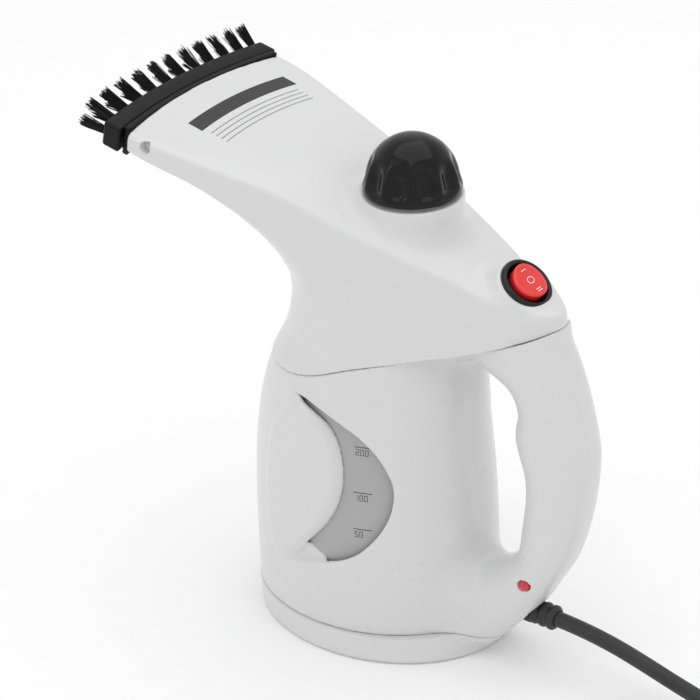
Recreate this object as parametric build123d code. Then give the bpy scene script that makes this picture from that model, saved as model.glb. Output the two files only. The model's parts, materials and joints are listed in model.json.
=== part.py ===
from build123d import *
import os
import math

# Hand-held garment steamer.
# Millimetres, +Z up. The origin is on the resting plane, on the vertical axis
# of the water tank. The steam nozzle points to -X, the handle is on +X.
# "Left" pieces are on -Y, "right" pieces on +Y.

os.makedirs("parts", exist_ok=True)

# ---------------------------------------------------------------- dimensions
wall = 2.2                 # moulded shell wall
joint_gap = 0.15           # assembly clearance between neighbouring parts
base_h = 12.0              # height of the foot cover

nozzle_tilt = 12.0         # nozzle rises this many degrees above horizontal
mouth_x, mouth_z = -92.3, 231.1   # middle of the top edge of the mouth
mouth_arc = 280.0          # radius of the bowed mouth, seen from above
mouth_h = 14.5             # outer height of the mouth
mouth_mid = mouth_h / 2
tub_half_w = 47.0          # box of the steam outlet that enters the mouth
tub_top = 2.2              # its top and bottom, below the mouth's top edge
tub_bottom = mouth_h - 3.9
tub_gap = 0.2              # clearance of the mouth slot around that box
slot_pitch = 8.0           # steam slots across the mouth
peg_y = 24.0               # brush pegs, each side of the middle
bar_back, bar_front = 3.6, 12.6   # brush bar, ahead of the mouth
tuft_count = 12            # tufts in the upper row; the lower row has one less
tuft_span = 96.0
tuft_length = 12.0

clip_x, clip_z = -79.5, 223.2     # sockets for the clip-on attachments
clip_hole_r = 2.5
clip_hole_depth = 4.5

cap_x = 24.0               # axis of the filler cap
cap_rim_z = 211.3
cap_r = 21.3
cap_top_z = 236.0
cap_flutes = 10
collar_r = 22.0
collar_h = 15.5
collar_top_z = 209.8
neck_r = 15.0              # bore of the filler neck
neck_wall = 2.2
plug_r = 14.6              # plug below the cap
plug_z = collar_top_z - 13.0      # bottom of the plug

sw_x, sw_z = 81.5, 182.3   # middle of the switch bezel, on the deck
sw_tilt = 38.0             # slope of the switch seat
bezel_r = 12.0
bezel_t = 2.3
pivot_z = -4.0             # rocker pivot, from the seat plane

tank_gap = 0.5             # water tank to body wall
tank_wall = 1.8
tank_z0, tank_z1 = 31.0, 122.0    # floor and roof of the water tank
neck_seal_t = 1.0
steam_x = -22.0            # axis of the steam dome on the tank roof

gasket_t = 2.2
plate_t = 2.6
plate_rib_h = 1.2
plate_z = tank_z0 - gasket_t - plate_t    # underside of the heater plate
rib_z = plate_z - plate_rib_h             # underside of its round rib
element_ring_r = 24.0
element_half_angle = 150.0                # the element leaves a gap at -X
retainer_z = rib_z - 1.0
retainer_t = 2.2
heater_screw_xy = [(28.0 * sx, 28.0 * sy) for sx in (-1, 1) for sy in (-1, 1)]

foot_post_xy = [(-36.0, 31.6), (40.0, 28.3)]      # repeated on -Y
foot_boss_xy = [(x, side * y) for x, y in foot_post_xy for side in (1, -1)]
foot_seat_z = 5.0          # seat of the screws under the foot
towers_xz = [(98.0, 112.0), (96.6, 76.0), (66.0, 24.0), (-46.5, 18.0)]
tower_seat_depth = 3.2     # screw seat below the right-hand surface

led_x, led_z = 88.6, 44.8  # indicator, on the -Y side of the handle root
cord_r = 3.5
cord_drop = -1.0           # slope of the cord at its exit, degrees

# ---------------------------------------------------------------- frames
PLUS_Y, MINUS_Y = Vector(0, 1, 0), Vector(0, -1, 0)
PLUS_Z, MINUS_Z = Vector(0, 0, 1), Vector(0, 0, -1)
Z_LINE = Axis((0, 0, 0), (0, 0, 1))
ON_BOTTOM = (Align.CENTER, Align.CENTER, Align.MIN)

tilt_cos = math.cos(math.radians(nozzle_tilt))
tilt_sin = math.sin(math.radians(nozzle_tilt))
nozzle_out = Vector(-tilt_cos, 0, tilt_sin)       # the way steam leaves
nozzle_up = Vector(tilt_sin, 0, tilt_cos)         # across the mouth, upward
mouth_top = Vector(mouth_x, 0, mouth_z)

sw_cos, sw_sin = math.cos(math.radians(sw_tilt)), math.sin(math.radians(sw_tilt))
switch_plane = Plane(origin=Vector(sw_x, 0, sw_z), x_dir=Vector(sw_cos, 0, -sw_sin),
                     z_dir=Vector(sw_sin, 0, sw_cos))

cord_dir = Vector(math.cos(math.radians(cord_drop)), 0, math.sin(math.radians(cord_drop)))
cord_exit = Vector(84.0, 0, 24.5)

# start of the steam duct, and the hose that is pushed onto it
duct_start = Vector(-31.0, 0, 201.5)
duct_dir = Vector(-0.90, 0, 0.436)
hose_end = duct_start - duct_dir * 1.5
hose_end_clip = hose_end - duct_dir * 4.0


# ---------------------------------------------------------------- helpers
def lerp(x, xs, ys):
    """piecewise linear y(x), held constant beyond both ends"""
    if x <= xs[0]:
        return ys[0]
    for i in range(1, len(xs)):
        if x <= xs[i]:
            t = (x - xs[i - 1]) / (xs[i] - xs[i - 1])
            return ys[i - 1] + t * (ys[i] - ys[i - 1])
    return ys[-1]


def standing(r, h, x=0, y=0, z=0):
    """upright cylinder with its bottom at z"""
    return Pos(x, y, z) * Cylinder(r, h, align=ON_BOTTOM)


def tube(r, inner_r, h, x, y, z):
    return standing(r, h, x, y, z) - standing(inner_r, h + 2, x, y, z - 1)


def rod(r, length, start, direction):
    return Solid.make_cylinder(r, length, Plane(origin=start, z_dir=direction))


def box(size_x, size_y, size_z, x, y, z):
    return Pos(x, y, z) * Box(size_x, size_y, size_z)


def slab(z0, z1):
    """everything between two heights"""
    return box(400, 400, z1 - z0, 0, 0, (z0 + z1) / 2)


def xz_solid(outline, y0, y1):
    """closed outline in the XZ plane, extruded along Y from y0 to y1"""
    wire = Wire.make_polygon([Vector(x, y0, z) for x, z in outline], close=True)
    return Solid.extrude(Face(wire), Vector(0, y1 - y0, 0))


def revolved(outline):
    """closed (radius, z) outline turned about the Z axis"""
    wire = Wire.make_polygon([Vector(x, 0, z) for x, z in outline], close=True)
    return Solid.revolve(Face(wire), 360, Z_LINE)


def swept(r, path):
    start = Plane(origin=path.position_at(0), z_dir=path.tangent_at(0))
    return sweep(start * Circle(r), path=path)


def profile_cut(xs, zs, dz, z_far):
    """everything on the far side of a curved sheet z(x) running across Y"""
    sheet = Edge.make_spline([Vector(x, -90, z + dz) for x, z in zip(xs, zs)])
    start, end = sheet.position_at(0), sheet.position_at(1)
    far_end, far_start = Vector(end.X, -90, z_far), Vector(start.X, -90, z_far)
    sides = [Edge.make_line(end, far_end), Edge.make_line(far_end, far_start),
             Edge.make_line(far_start, start)]
    return Solid.extrude(Face(Wire([sheet] + sides)), Vector(0, 180, 0))


def ring_loft(levels, inset, ruled):
    """loft of ellipses; levels are (z, half length, half width, centre x)"""
    rings = [Wire([Edge.make_ellipse(a - inset, b - inset, Plane.XY.offset(z))])
             .moved(Location((x, 0, 0))) for z, a, b, x in levels]
    return Solid.make_loft(rings, ruled)


def on_switch(shape, dz=0.0):
    return switch_plane * (Pos(0, 0, dz) * shape)


def screw(head_r, head_h, shank_r, length):
    """cross-slot screw: head above the seat plane, shank pointing to -Z"""
    body = standing(head_r, head_h)
    body = body + standing(shank_r, length + 0.5, z=-length)
    for size_x, size_y in ((head_r * 1.2, 0.7), (0.7, head_r * 1.2)):
        body = body - Pos(0, 0, head_h - 1.1) * Box(size_x, size_y, 2.4, align=ON_BOTTOM)
    return body


def group(shapes):
    """one compound of the separate solids"""
    return Compound(children=[solid for shape in shapes for solid in shape.solids()])


def save(shape, name):
    shape.label = name
    export_step(shape, f"parts/{name}.step")


# ---------------------------------------------------------------- mouth geometry
def mouth_barrel(r, low=-170, high=120):
    """barrel whose front skin is the bowed mouth surface"""
    centre = mouth_top - nozzle_out * mouth_arc
    base = Plane(origin=centre + nozzle_up * low, x_dir=nozzle_out, z_dir=nozzle_up)
    return Solid.make_cylinder(r, high - low, base)


def mouth_slab(back, front, half_w, top, bottom):
    """slab following the bowed mouth: from back to front along the nozzle axis,
    half_w wide each side, top and bottom measured down from the top edge"""
    ring = (mouth_barrel(mouth_arc + front, -bottom, -top)
            - mouth_barrel(mouth_arc + back, -bottom - 1, -top + 1))
    middle = mouth_top - nozzle_up * ((top + bottom) / 2)
    clip = Plane(origin=middle, x_dir=nozzle_out, z_dir=nozzle_up) * Box(70, 2 * half_w, 60)
    return ring & clip


def on_mouth(y, down, forward=0.0):
    """point at sideways y, this far below the top edge, ahead of the bowed mouth"""
    r = mouth_arc + forward
    sag = math.sqrt(r * r - y * y) - mouth_arc
    return mouth_top + nozzle_out * sag + Vector(0, y, 0) - nozzle_up * down


def mouth_plane(point):
    return Plane(origin=point, x_dir=PLUS_Y, z_dir=nozzle_out)


def cut_steam_slots(shape, forward, depth):
    """row of slots, left out where the brush pegs are"""
    for k in range(-5, 6):
        if k in (-3, 3):
            continue
        point = on_mouth(k * slot_pitch, mouth_mid, forward)
        shape = shape - mouth_plane(point) * Box(4.6, 2.6, depth)
    return shape


# ---------------------------------------------------------------- head form
# crease between deck and side wall: x, half width, z
deck = [
    (-110, 53.0, 233), (-92, 52.6, 229), (-79.5, 52.2, 226.3), (-70.2, 50.9, 224.2),
    (-60.9, 48.8, 222.4), (-51.6, 46.7, 220.2), (-42.3, 44.6, 218), (-33, 42.2, 216),
    (-23.7, 40, 213.8), (-14.4, 38, 211.3), (-5.1, 36.3, 208.3), (4.2, 34.8, 205),
    (13.5, 33.3, 201.8), (22.8, 31.7, 198.6), (32.1, 29.9, 195.6), (41.4, 27.5, 192.6),
    (50.7, 24.9, 189.4), (60, 22.6, 185.8), (69.3, 20.6, 181.3), (78.6, 18.6, 176.6),
    (88, 15.5, 174.2), (96, 9.5, 173.2), (100, 1, 172.6), (110, 1, 171),
]
deck_x, deck_w, deck_z = zip(*deck)
deck_rise = 1.6            # deck surface above the crease

# seam between head and body: x, z
seam = [
    (-120, 126), (-100, 126), (-80, 126), (-65, 126), (-50, 126), (-38, 126),
    (-25, 126.2), (-12, 128.4), (0, 132), (15, 138.4), (39.5, 146), (63, 152),
    (80, 158.7), (89, 163), (96, 166), (100, 168), (125, 176),
]
seam_x, seam_z = zip(*seam)

# half width at the seam, behind the tank axis: x, half width
seam_width = [(0, 40), (15, 39), (39.5, 32), (63, 22.6), (80, 17.6), (89, 15), (96, 11),
              (100, 1)]
seam_width_x, seam_width_w = zip(*seam_width)

# head levels: z, x of the front, length of the rounded front, waist of the side wall
head_levels = [
    (118, -49.4, 47, 0), (126, -46.5, 47, 0), (140, -39.3, 44, 1.2), (150, -36.8, 42, 1.9),
    (160, -35.5, 40, 2.4), (170, -36.7, 38, 2.2), (180, -42.0, 34, 1.4),
    (190, -50.0, 30, 0.5), (200, -64.0, 28.5, 0), (210, -82.0, 26, 0), (215, -90.5, 19, 0),
    (219, -98.5, 9.5, 0), (224, -109.0, 8, 0), (236, -122.0, 8, 0),
]
level_z = [level[0] for level in head_levels]
level_waist = [level[3] for level in head_levels]


def head_half_width(x, z):
    """half width of the head wall at station x and height z"""
    top_z = lerp(x, deck_x, deck_z)
    low_z = lerp(x, seam_x, seam_z)
    top_w = lerp(x, deck_x, deck_w)
    # ahead of the tank axis the neck is as wide as the tank shoulder
    low_w = 40.0 + 0.02 * x if x < 0 else lerp(x, seam_width_x, seam_width_w)
    t = max(-0.15, min(1.0, (z - low_z) / (top_z - low_z)))
    return low_w + t * (top_w - low_w) - lerp(z, level_z, level_waist)


def head_outline(z, front, run, inset):
    front_x = front + inset
    side_x = front_x + run
    points = []
    for degrees in (22, 42, 60, 76):
        angle = math.radians(degrees)
        x = front_x + run * (1 - math.cos(angle))
        points.append((x, (head_half_width(side_x, z) - inset) * math.sin(angle)))
    side_count = 9
    for k in range(side_count):
        x = side_x + (90.0 - inset - side_x) * k / (side_count - 1)
        points.append((x, max(head_half_width(x, z) - inset, 2.0)))
    points.append((96.0 - inset * 1.2, max(head_half_width(96.0, z) - inset * 1.1, 1.4)))
    tail = (100.3 - inset * 1.35, 0)
    loop = [(front_x, 0)] + points + [tail] + [(x, -y) for x, y in reversed(points)]
    return Wire([Edge.make_spline([Vector(x, y, z) for x, y in loop], periodic=True)])


def head_mass(inset):
    return Solid.make_loft([head_outline(z, front, run, inset)
                            for z, front, run, _ in head_levels], False)


def head_shell():
    below_seam = profile_cut(seam_x, seam_z, 0.0, 20)
    outer = head_mass(0.0)
    outer = outer - profile_cut(deck_x, deck_z, deck_rise, 330)
    outer = outer - below_seam
    outer = outer & mouth_barrel(mouth_arc)
    seat = on_switch(Solid.make_cone(19.0, 12.9, 9.0), -9.0)
    collar = Pos(cap_x, 0, 0) * Solid.make_cone(
        27.5, collar_r, collar_h, Plane.XY.offset(collar_top_z - collar_h))
    inner = head_mass(wall)
    inner = inner - profile_cut(deck_x, deck_z, deck_rise - wall, 330)
    head = outer.fuse(collar).fuse(seat) - inner
    # openings for the filler neck and the switch housing
    head = head - standing(neck_r + neck_wall + joint_gap, 60, cap_x, 0, 170)
    head = head - on_switch(Cylinder(10.15, 50))
    head = head - below_seam
    # attachment sockets, with a boss behind each
    clip_y = lerp(clip_x, deck_x, deck_w)
    for side in (-1, 1):
        boss = rod(4.6, 7.0, Vector(clip_x, side * clip_y, clip_z), Vector(0, -side, 0))
        head = head.fuse(boss & outer)
    for side in (-1, 1):
        start = Vector(clip_x, side * clip_y + side * 2.0, clip_z)
        head = head - rod(clip_hole_r, clip_hole_depth + 2.0, start, Vector(0, -side, 0))
    # slot of the mouth, and room for the bezel on its seat
    head = head - mouth_slab(-5.5, 6, tub_half_w + tub_gap, tub_top - tub_gap,
                             tub_bottom + tub_gap)
    return head - on_switch(standing(bezel_r + joint_gap, 7.0))


# ---------------------------------------------------------------- body form
# tank column: z, half length, half width, centre x
tank_levels = [
    (2, 57.4, 46.7, 0.0), (20, 57.8, 46.9, 0.0), (40, 58.0, 47.0, 0.0), (60, 57.7, 46.7, 0.0),
    (81, 56.8, 45.5, 0.0), (101, 54.4, 44.0, 0.5), (114, 52.8, 42.3, 2.1),
    (126, 50.2, 40.8, 4.0), (140, 45.9, 38.6, 6.6), (152, 44.0, 37.2, 7.3),
]

# handle sections: outer x, outer z, inner x, inner z, half width
grip_sections = [
    (100.6, 169.5, 55, 160, 16.0), (103.0, 161, 66, 145.5, 15.6),
    (105.6, 153, 75, 135.0, 15.0), (109.3, 139, 81.0, 127.5, 14.4),
    (113.6, 124, 81.6, 118.0, 14.2), (116.2, 111, 80.3, 110.0, 14.0),
    (115.6, 98, 83.6, 98.0, 13.8), (113.4, 84, 84.4, 85.0, 13.6),
    (110.4, 70, 82.9, 72.0, 13.6), (105.8, 57, 79.6, 62.5, 13.9),
    (99.4, 45, 74.0, 54.5, 15.0), (89.9, 30.5, 64, 47.5, 17.0),
    (77, 16, 52, 42.0, 19.0), (62, 6, 38, 34.0, 21.0),
]
grip_power = 2 / 2.35      # squareness of the superellipse sections

# level window, a leaf-shaped outline: x before the shift, z
window_shift = -2.0
window = [
    (-2.0, 123.6), (9.5, 118.8), (19.0, 113.4), (26.6, 107.2), (31.2, 98.6), (33.8, 84),
    (32.4, 74.4), (29.0, 65.2), (21.8, 55.2), (10.6, 48.2), (2.6, 47.4), (9.4, 57.0),
    (15.2, 70.2), (18.8, 88.6), (13.8, 108.0), (4.0, 118.6),
]


def tank_mass(inset):
    return ring_loft(tank_levels, inset, False)


def grip_section(outer_x, outer_z, inner_x, inner_z, half_w, inset):
    span = math.hypot(outer_x - inner_x, outer_z - inner_z)
    dir_x, dir_z = (outer_x - inner_x) / span, (outer_z - inner_z) / span
    mid_x, mid_z = (outer_x + inner_x) / 2, (outer_z + inner_z) / 2
    points = []
    for k in range(20):
        angle = 2 * math.pi * (k + 0.5) / 20
        c, s = math.cos(angle), math.sin(angle)
        along = (span / 2 - inset) * math.copysign(abs(c) ** grip_power, c)
        across = (half_w - inset) * math.copysign(abs(s) ** grip_power, s)
        points.append(Vector(mid_x + dir_x * along, across, mid_z + dir_z * along))
    return Wire([Edge.make_spline(points, periodic=True)])


def grip_mass(inset):
    return Solid.make_loft([grip_section(*row, inset) for row in grip_sections], False)


above_seam = profile_cut(seam_x, seam_z, 0.0, 330)
foot_zone = slab(base_h - 200, base_h)
above_foot = slab(base_h, base_h + 200)
right_side = Pos(0, 100, 0) * Box(500, 200, 500)

# solid form of the body without its hollow, and its two halves
body_mass = tank_mass(0.0).fuse(grip_mass(0.0))
left_mass = body_mass - above_seam - foot_zone - right_side
right_mass = left_mass.mirror(Plane.XZ)


def surface_box(half_mass, x, z, direction):
    """box of a thin probe from the middle plane out to the body surface"""
    return (rod(0.5, 60, Vector(x, 0, z), direction) & half_mass).bounding_box()


led_y = surface_box(left_mass, led_x, led_z, MINUS_Y).min.Y
# x, y and z of the body screw seats, sunk in the right half
tower_seats = [(x, surface_box(right_mass, x, z, PLUS_Y).max.Y - tower_seat_depth, z)
               for x, z in towers_xz]


def body_halves():
    body = body_mass - tank_mass(wall).fuse(grip_mass(wall))
    body = body - above_seam - foot_zone
    outline = [(x + window_shift, z) for x, z in window]
    body = body - xz_solid(outline, -80, -20) - xz_solid(outline, 20, 80)
    body = body - rod(6.1, 26, cord_exit - cord_dir * 15, cord_dir)    # cord opening

    # posts for the foot screws
    left = body - right_side
    for x, y in foot_post_xy:
        left = left.fuse(standing(3.6, 13.0, x, -y, base_h) & tank_mass(wall * 0.5))
    for x, y in foot_post_xy:
        left = left - standing(1.25, 11.0, x, -y, base_h - 1)
    right = left.mirror(Plane.XZ)
    left = left - rod(3.1, 20, Vector(led_x, -24.0, led_z), PLUS_Y)    # indicator bore

    # screw towers joining the halves, screwed from the +Y side
    for x, z in towers_xz:
        left = left.fuse(rod(3.4, 60, Vector(x, 0, z), MINUS_Y) & left_mass)
        right = right.fuse(rod(3.4, 60, Vector(x, 0, z), PLUS_Y) & right_mass)
    for x, seat_y, z in tower_seats:
        right = right - rod(1.7, 80, Vector(x, -1, z), PLUS_Y)
        right = right - rod(2.9, 40, Vector(x, seat_y, z), PLUS_Y)
        left = left - rod(1.15, 9.0, Vector(x, 0.5, z), MINUS_Y)
    return left, right


def body_screws():
    return group([Plane(origin=Vector(x, seat_y, z), z_dir=PLUS_Y)
                  * screw(2.6, 1.9, 1.05, seat_y + 6.5) for x, seat_y, z in tower_seats])


# ---------------------------------------------------------------- foot cover
# z, half length, half width, centre x
foot_levels = [(0.0, 59.6, 48.2, 4.0), (1.2, 61.0, 49.5, 4.0), (4.0, 61.3, 49.8, 3.8),
               (base_h, 59.6, 48.5, 2.2)]
foot_hollow_levels = [(wall, 60.9, 49.4, 4.0), (base_h + 1, 59.5, 48.4, 2.1)]


def base_cover():
    handle_root = grip_mass(0.0) - above_foot - slab(-199.0, 1.0)
    foot = (ring_loft(foot_levels, 0, True).fuse(handle_root)
            - ring_loft(foot_hollow_levels, wall, True))
    foot = foot - above_foot
    for x, y in foot_boss_xy:
        foot = foot.fuse(standing(4.3, base_h, x, y, 0.0))
    for x, y in foot_boss_xy:
        foot = foot - standing(1.6, 30, x, y, -1) - standing(3.2, foot_seat_z + 1, x, y, -1)
    # vent grille under the heater
    for k in (-3, -2, -1, 1, 2, 3):
        foot = foot - box(3.0, 30 - abs(k) * 3, 8, k * 6.0, 0, 0)
    return foot


def base_screws():
    return group([Plane(origin=Vector(x, y, foot_seat_z), z_dir=MINUS_Z)
                  * screw(2.8, 2.0, 1.15, 14.0) for x, y in foot_boss_xy])


# ---------------------------------------------------------------- water tank
def water_tank():
    outer_inset = wall + tank_gap
    tank = ((tank_mass(outer_inset) & slab(tank_z0, tank_z1))
            - (tank_mass(outer_inset + tank_wall) & slab(tank_z0 + 2.4, tank_z1 - 2.0)))
    # heater opening in the floor, with screw bosses around it
    tank = tank - standing(30.0, 6, 0, 0, tank_z0 - 1)
    for x, y in heater_screw_xy:
        tank = tank.fuse(standing(3.3, 9.0, x, y, tank_z0 + 1.0))
    for x, y in heater_screw_xy:
        tank = tank - standing(1.3, 8.5, x, y, tank_z0 - 1.0)
    # filler mouth and steam mouth in the roof
    return (tank - standing(neck_r - 1.0, 8, cap_x, 0, tank_z1 - 5)
            - standing(6.0, 8, steam_x, 0, tank_z1 - 5))


def filler_neck():
    """flange above the tank roof, tube up to the collar"""
    z = tank_z1 + neck_seal_t
    return tube(neck_r + 4.5, neck_r, 2.0, cap_x, 0, z).fuse(
        tube(neck_r + neck_wall, neck_r, collar_top_z - z, cap_x, 0, z))


def neck_seal():
    return tube(neck_r + 4.0, neck_r + 0.2, neck_seal_t, cap_x, 0, tank_z1)


def steam_dome():
    dome = standing(11.0, 2.0, steam_x, 0, tank_z1)
    dome = dome.fuse(standing(8.0, 8.0, steam_x, 0, tank_z1))
    dome = dome.fuse(standing(3.6, 16.0, steam_x, 0, tank_z1))
    return (dome - standing(6.2, 6.4, steam_x, 0, tank_z1 - 0.4)
            - standing(2.4, 24, steam_x, 0, tank_z1 - 1))


# ---------------------------------------------------------------- heater stack
def heater_gasket():
    return tube(35.0, 30.2, gasket_t, 0, 0, tank_z0 - gasket_t)


def heater_plate():
    return standing(35.5, plate_t, z=plate_z).fuse(tube(28.0, 20.0, plate_rib_h, 0, 0, rib_z))


def heater_element():
    """open ring under the plate rib, with a thin pin at each end"""
    centre_z = rib_z - 3.05
    section_plane = Plane(origin=Vector(element_ring_r, 0, centre_z),
                          x_dir=Vector(1, 0, 0), z_dir=MINUS_Y)
    section = Face(Wire([Edge.make_circle(3.0, section_plane)]))
    element = Solid.revolve(section, 2 * element_half_angle, Z_LINE)
    element = element.rotate(Z_LINE, -element_half_angle)
    for side in (-1, 1):
        angle = math.radians(element_half_angle * side)
        c, s = math.cos(angle), math.sin(angle)
        tip = Vector(element_ring_r * c, element_ring_r * s, centre_z)
        along = Vector(-s * side, c * side, 0)
        element = element.fuse(rod(1.3, 5.0, tip - along * 0.5, along))
    return element


def heater_retainer():
    retainer = tube(38.0, 31.5, retainer_t, 0, 0, retainer_z)
    for x, y in heater_screw_xy:
        retainer = retainer.fuse(standing(3.5, retainer_t, x, y, retainer_z))
    for x, y in heater_screw_xy:
        retainer = retainer - standing(1.5, 8, x, y, retainer_z - 3.0)
    return retainer


def heater_screws():
    return group([Plane(origin=Vector(x, y, retainer_z), z_dir=MINUS_Z)
                  * screw(2.6, 1.9, 1.2, 13.0) for x, y in heater_screw_xy])


def thermostat():
    body = standing(8.0, 3.6, z=plate_z - 3.6).fuse(standing(5.5, 3.0, z=plate_z - 6.4))
    return body.fuse(box(22, 3.0, 0.8, 0, 0, plate_z - 6.0))


def thermal_fuse():
    y, z, along = 13.6, rib_z - 0.75, Vector(1, 0, 0)
    return rod(1.9, 14.0, Vector(-7, y, z), along).fuse(
        rod(0.6, 20.0, Vector(-10, y, z), along))


# ---------------------------------------------------------------- steam path
def duct_loft(inset, overrun):
    """round at the hose, widening to a flat ellipse behind the mouth"""
    round_r, wide_r, flat_r = 5.6 - inset, 42.6 - inset, 4.4 - inset
    end = mouth_top - nozzle_up * mouth_mid - nozzle_out * 12.8
    # half width, half height, centre, direction
    sections = [
        (round_r, round_r, duct_start - duct_dir * overrun, duct_dir),
        ((round_r + wide_r) * 0.42, (round_r + flat_r) * 0.5,
         duct_start * 0.5 + end * 0.5, (duct_dir + nozzle_out) * 0.5),
        (wide_r, flat_r, end + nozzle_out * overrun, nozzle_out),
    ]
    return Solid.make_loft([
        Wire([Edge.make_ellipse(a, b, Plane(origin=centre, x_dir=PLUS_Y, z_dir=direction))])
        for a, b, centre, direction in sections], False)


def steam_duct():
    duct = duct_loft(inset=0.0, overrun=0.0) - duct_loft(inset=1.6, overrun=0.4)
    return duct.fuse(rod(4.3, 9.0, duct_start - duct_dir * 8.5, duct_dir)
                     - rod(3.0, 12.0, duct_start - duct_dir * 10, duct_dir))


def steam_hose():
    path = Edge.make_spline(
        [Vector(steam_x, 0, tank_z1 + 9.0), Vector(steam_x, 0, 150), Vector(-19, 0, 172),
         Vector(-18.5, 0, 186), hose_end_clip, hose_end],
        tangents=[PLUS_Z, duct_dir])
    return swept(6.4, path) - swept(4.75, path)


def hose_clips():
    lower = tube(7.8, 6.8, 2.0, steam_x, 0, tank_z1 + 12.0)
    upper_plane = Plane(origin=hose_end_clip, z_dir=duct_dir)
    return group([lower, upper_plane * (Cylinder(7.8, 2.0) - Cylinder(6.8, 3.0))])


def steam_outlet():
    """flange ahead of the mouth, box behind it, steam slots and peg holes"""
    flange = mouth_slab(0.1, 3.0, 50.4, 0.6, 13.9)
    outlet = flange.fuse(mouth_slab(-5.0, 0.4, tub_half_w, tub_top, tub_bottom))
    outlet = outlet - mouth_slab(-14, 1.2, 45.2, 4.0, mouth_h - 5.5)
    outlet = cut_steam_slots(outlet, forward=0.0, depth=16)
    for side in (-1, 1):
        outlet = outlet - rod(2.1, 16.0, on_mouth(side * peg_y, mouth_mid, -8.0), nozzle_out)
    return outlet


def brush_bar():
    bar = mouth_slab(bar_back, bar_front, 52.6, 1.6, 12.6)
    bar = cut_steam_slots(bar, forward=8.0, depth=26)
    for side in (-1, 1):
        start = on_mouth(side * peg_y, mouth_mid, bar_back - 8.0)
        bar = bar.fuse(rod(1.95, 9.0, start, nozzle_out))
    return bar


def brush_bristles():
    tufts = []
    for count, down in ((tuft_count, 3.6), (tuft_count - 1, 10.4)):
        for k in range(count):
            y = (k - (count - 1) / 2) * (tuft_span / (tuft_count - 1))
            root = on_mouth(y, down, bar_front + 0.45)
            tufts.append(Solid.make_cone(1.35, 2.1, tuft_length, mouth_plane(root)))
    return group(tufts)


# ---------------------------------------------------------------- filler cap
# outer and inner outlines of the cap dome: radius, z
cap_outer = [
    (0, cap_rim_z), (cap_r, cap_rim_z), (cap_r, cap_rim_z + 0.6), (21.1, 214.5),
    (20.4, 218.0), (19.3, 222.0), (17.5, 225.8), (15.0, 229.3), (12.0, 232.2),
    (8.0, 234.6), (4.0, 235.7), (0, cap_top_z),
]
cap_inner = [
    (0, cap_rim_z - 1), (18.7, cap_rim_z - 1), (18.7, 213.7), (16.4, 213.7), (16.0, 218.0),
    (15.2, 222.0), (13.6, 225.5), (11.0, 228.6), (8.0, 230.9), (4.0, 232.4), (0, 233.0),
]


def cap_dome():
    """modelled on the Z axis, then moved to the cap axis"""
    dome = revolved(cap_outer) - revolved(cap_inner)
    flute_ring_r = cap_r + 3.0
    for k in range(cap_flutes):
        angle = 2 * math.pi * k / cap_flutes
        c, s = math.cos(angle), math.sin(angle)
        start = Vector(flute_ring_r * c, flute_ring_r * s, cap_rim_z + 2.6)
        dome = dome - rod(6.0, 17.0, start, Vector(-0.12 * c, -0.12 * s, 1))
    screw_post = (standing(4.0, 18.6, z=cap_rim_z + 4.0)
                  - standing(1.1, 14.0, z=cap_rim_z + 3.0))
    return dome.fuse(screw_post).moved(Location((cap_x, 0, 0)))


def cap_plug():
    plug = standing(plug_r, collar_top_z + 1.5 - plug_z, cap_x, 0, plug_z)
    plug = plug.fuse(standing(18.4, 2.2, cap_x, 0, collar_top_z + 1.45))
    plug = plug.fuse(standing(6.0, cap_rim_z + 3.9 - collar_top_z - 3.0,
                              cap_x, 0, collar_top_z + 3.0))
    plug = (plug - standing(plug_r - 2.0, 10.5, cap_x, 0, plug_z - 0.1)
            - standing(1.5, 40, cap_x, 0, plug_z))
    # grooves around the plug
    for k in range(3):
        plug = plug - tube(plug_r + 1, plug_r - 0.5, 1.2, cap_x, 0, plug_z + 1.4 + k * 3.4)
    return plug


def cap_seal():
    return tube(18.2, plug_r + 0.12, 1.35, cap_x, 0, collar_top_z + 0.05)


def cap_screw():
    seat = Plane(origin=Vector(cap_x, 0, plug_z + 10.4), z_dir=MINUS_Z)
    return seat * screw(2.8, 2.0, 1.0, 15.0)


# ---------------------------------------------------------------- switch
# rocker outline in the seat frame: x, z
rocker_outline = [
    (-8.2, pivot_z - 1.5), (-6.0, pivot_z - 6.0), (6.0, pivot_z - 6.0), (8.2, pivot_z - 1.5),
    (7.9, 5.0), (4.2, 4.1), (0.0, 3.8), (-4.2, 4.1), (-7.9, 5.0),
]


def pivot_pin(r, length):
    return Pos(0, 0, pivot_z) * Rotation(90, 0, 0) * Cylinder(r, length)


def switch_housing():
    housing = standing(bezel_r, bezel_t)
    housing = fillet(housing.edges().sort_by(Axis.Z)[-1], 1.2)
    housing = housing + standing(9.95, 18.2, z=-18.0)
    housing = housing - (standing(9.4, 40, z=-13.0) & Box(30, 16.8, 80))
    return on_switch(housing - pivot_pin(1.25, 19.2))


def rocker_button():
    rocker = xz_solid(rocker_outline, -8.1, 8.1)
    rocker = rocker & Pos(0, 0, -20) * Cylinder(8.1, 60)
    return on_switch(rocker + pivot_pin(1.2, 18.8))


def switch_terminals():
    blade = Box(0.8, 6.3, 8.0, align=(Align.CENTER, Align.CENTER, Align.MAX))
    return group([on_switch(Pos(x, 0, -18.05) * blade) for x in (-6.0, 0.0, 6.0)])


# ---------------------------------------------------------------- indicator
def indicator_lens():
    return (rod(2.95, 7.0, Vector(led_x, led_y - 0.7, led_z), PLUS_Y)
            - rod(1.9, 7.0, Vector(led_x, led_y + 2.0, led_z), PLUS_Y))


def indicator_lamp():
    return rod(1.6, 6.0, Vector(led_x, led_y + 2.6, led_z), PLUS_Y)


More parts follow.
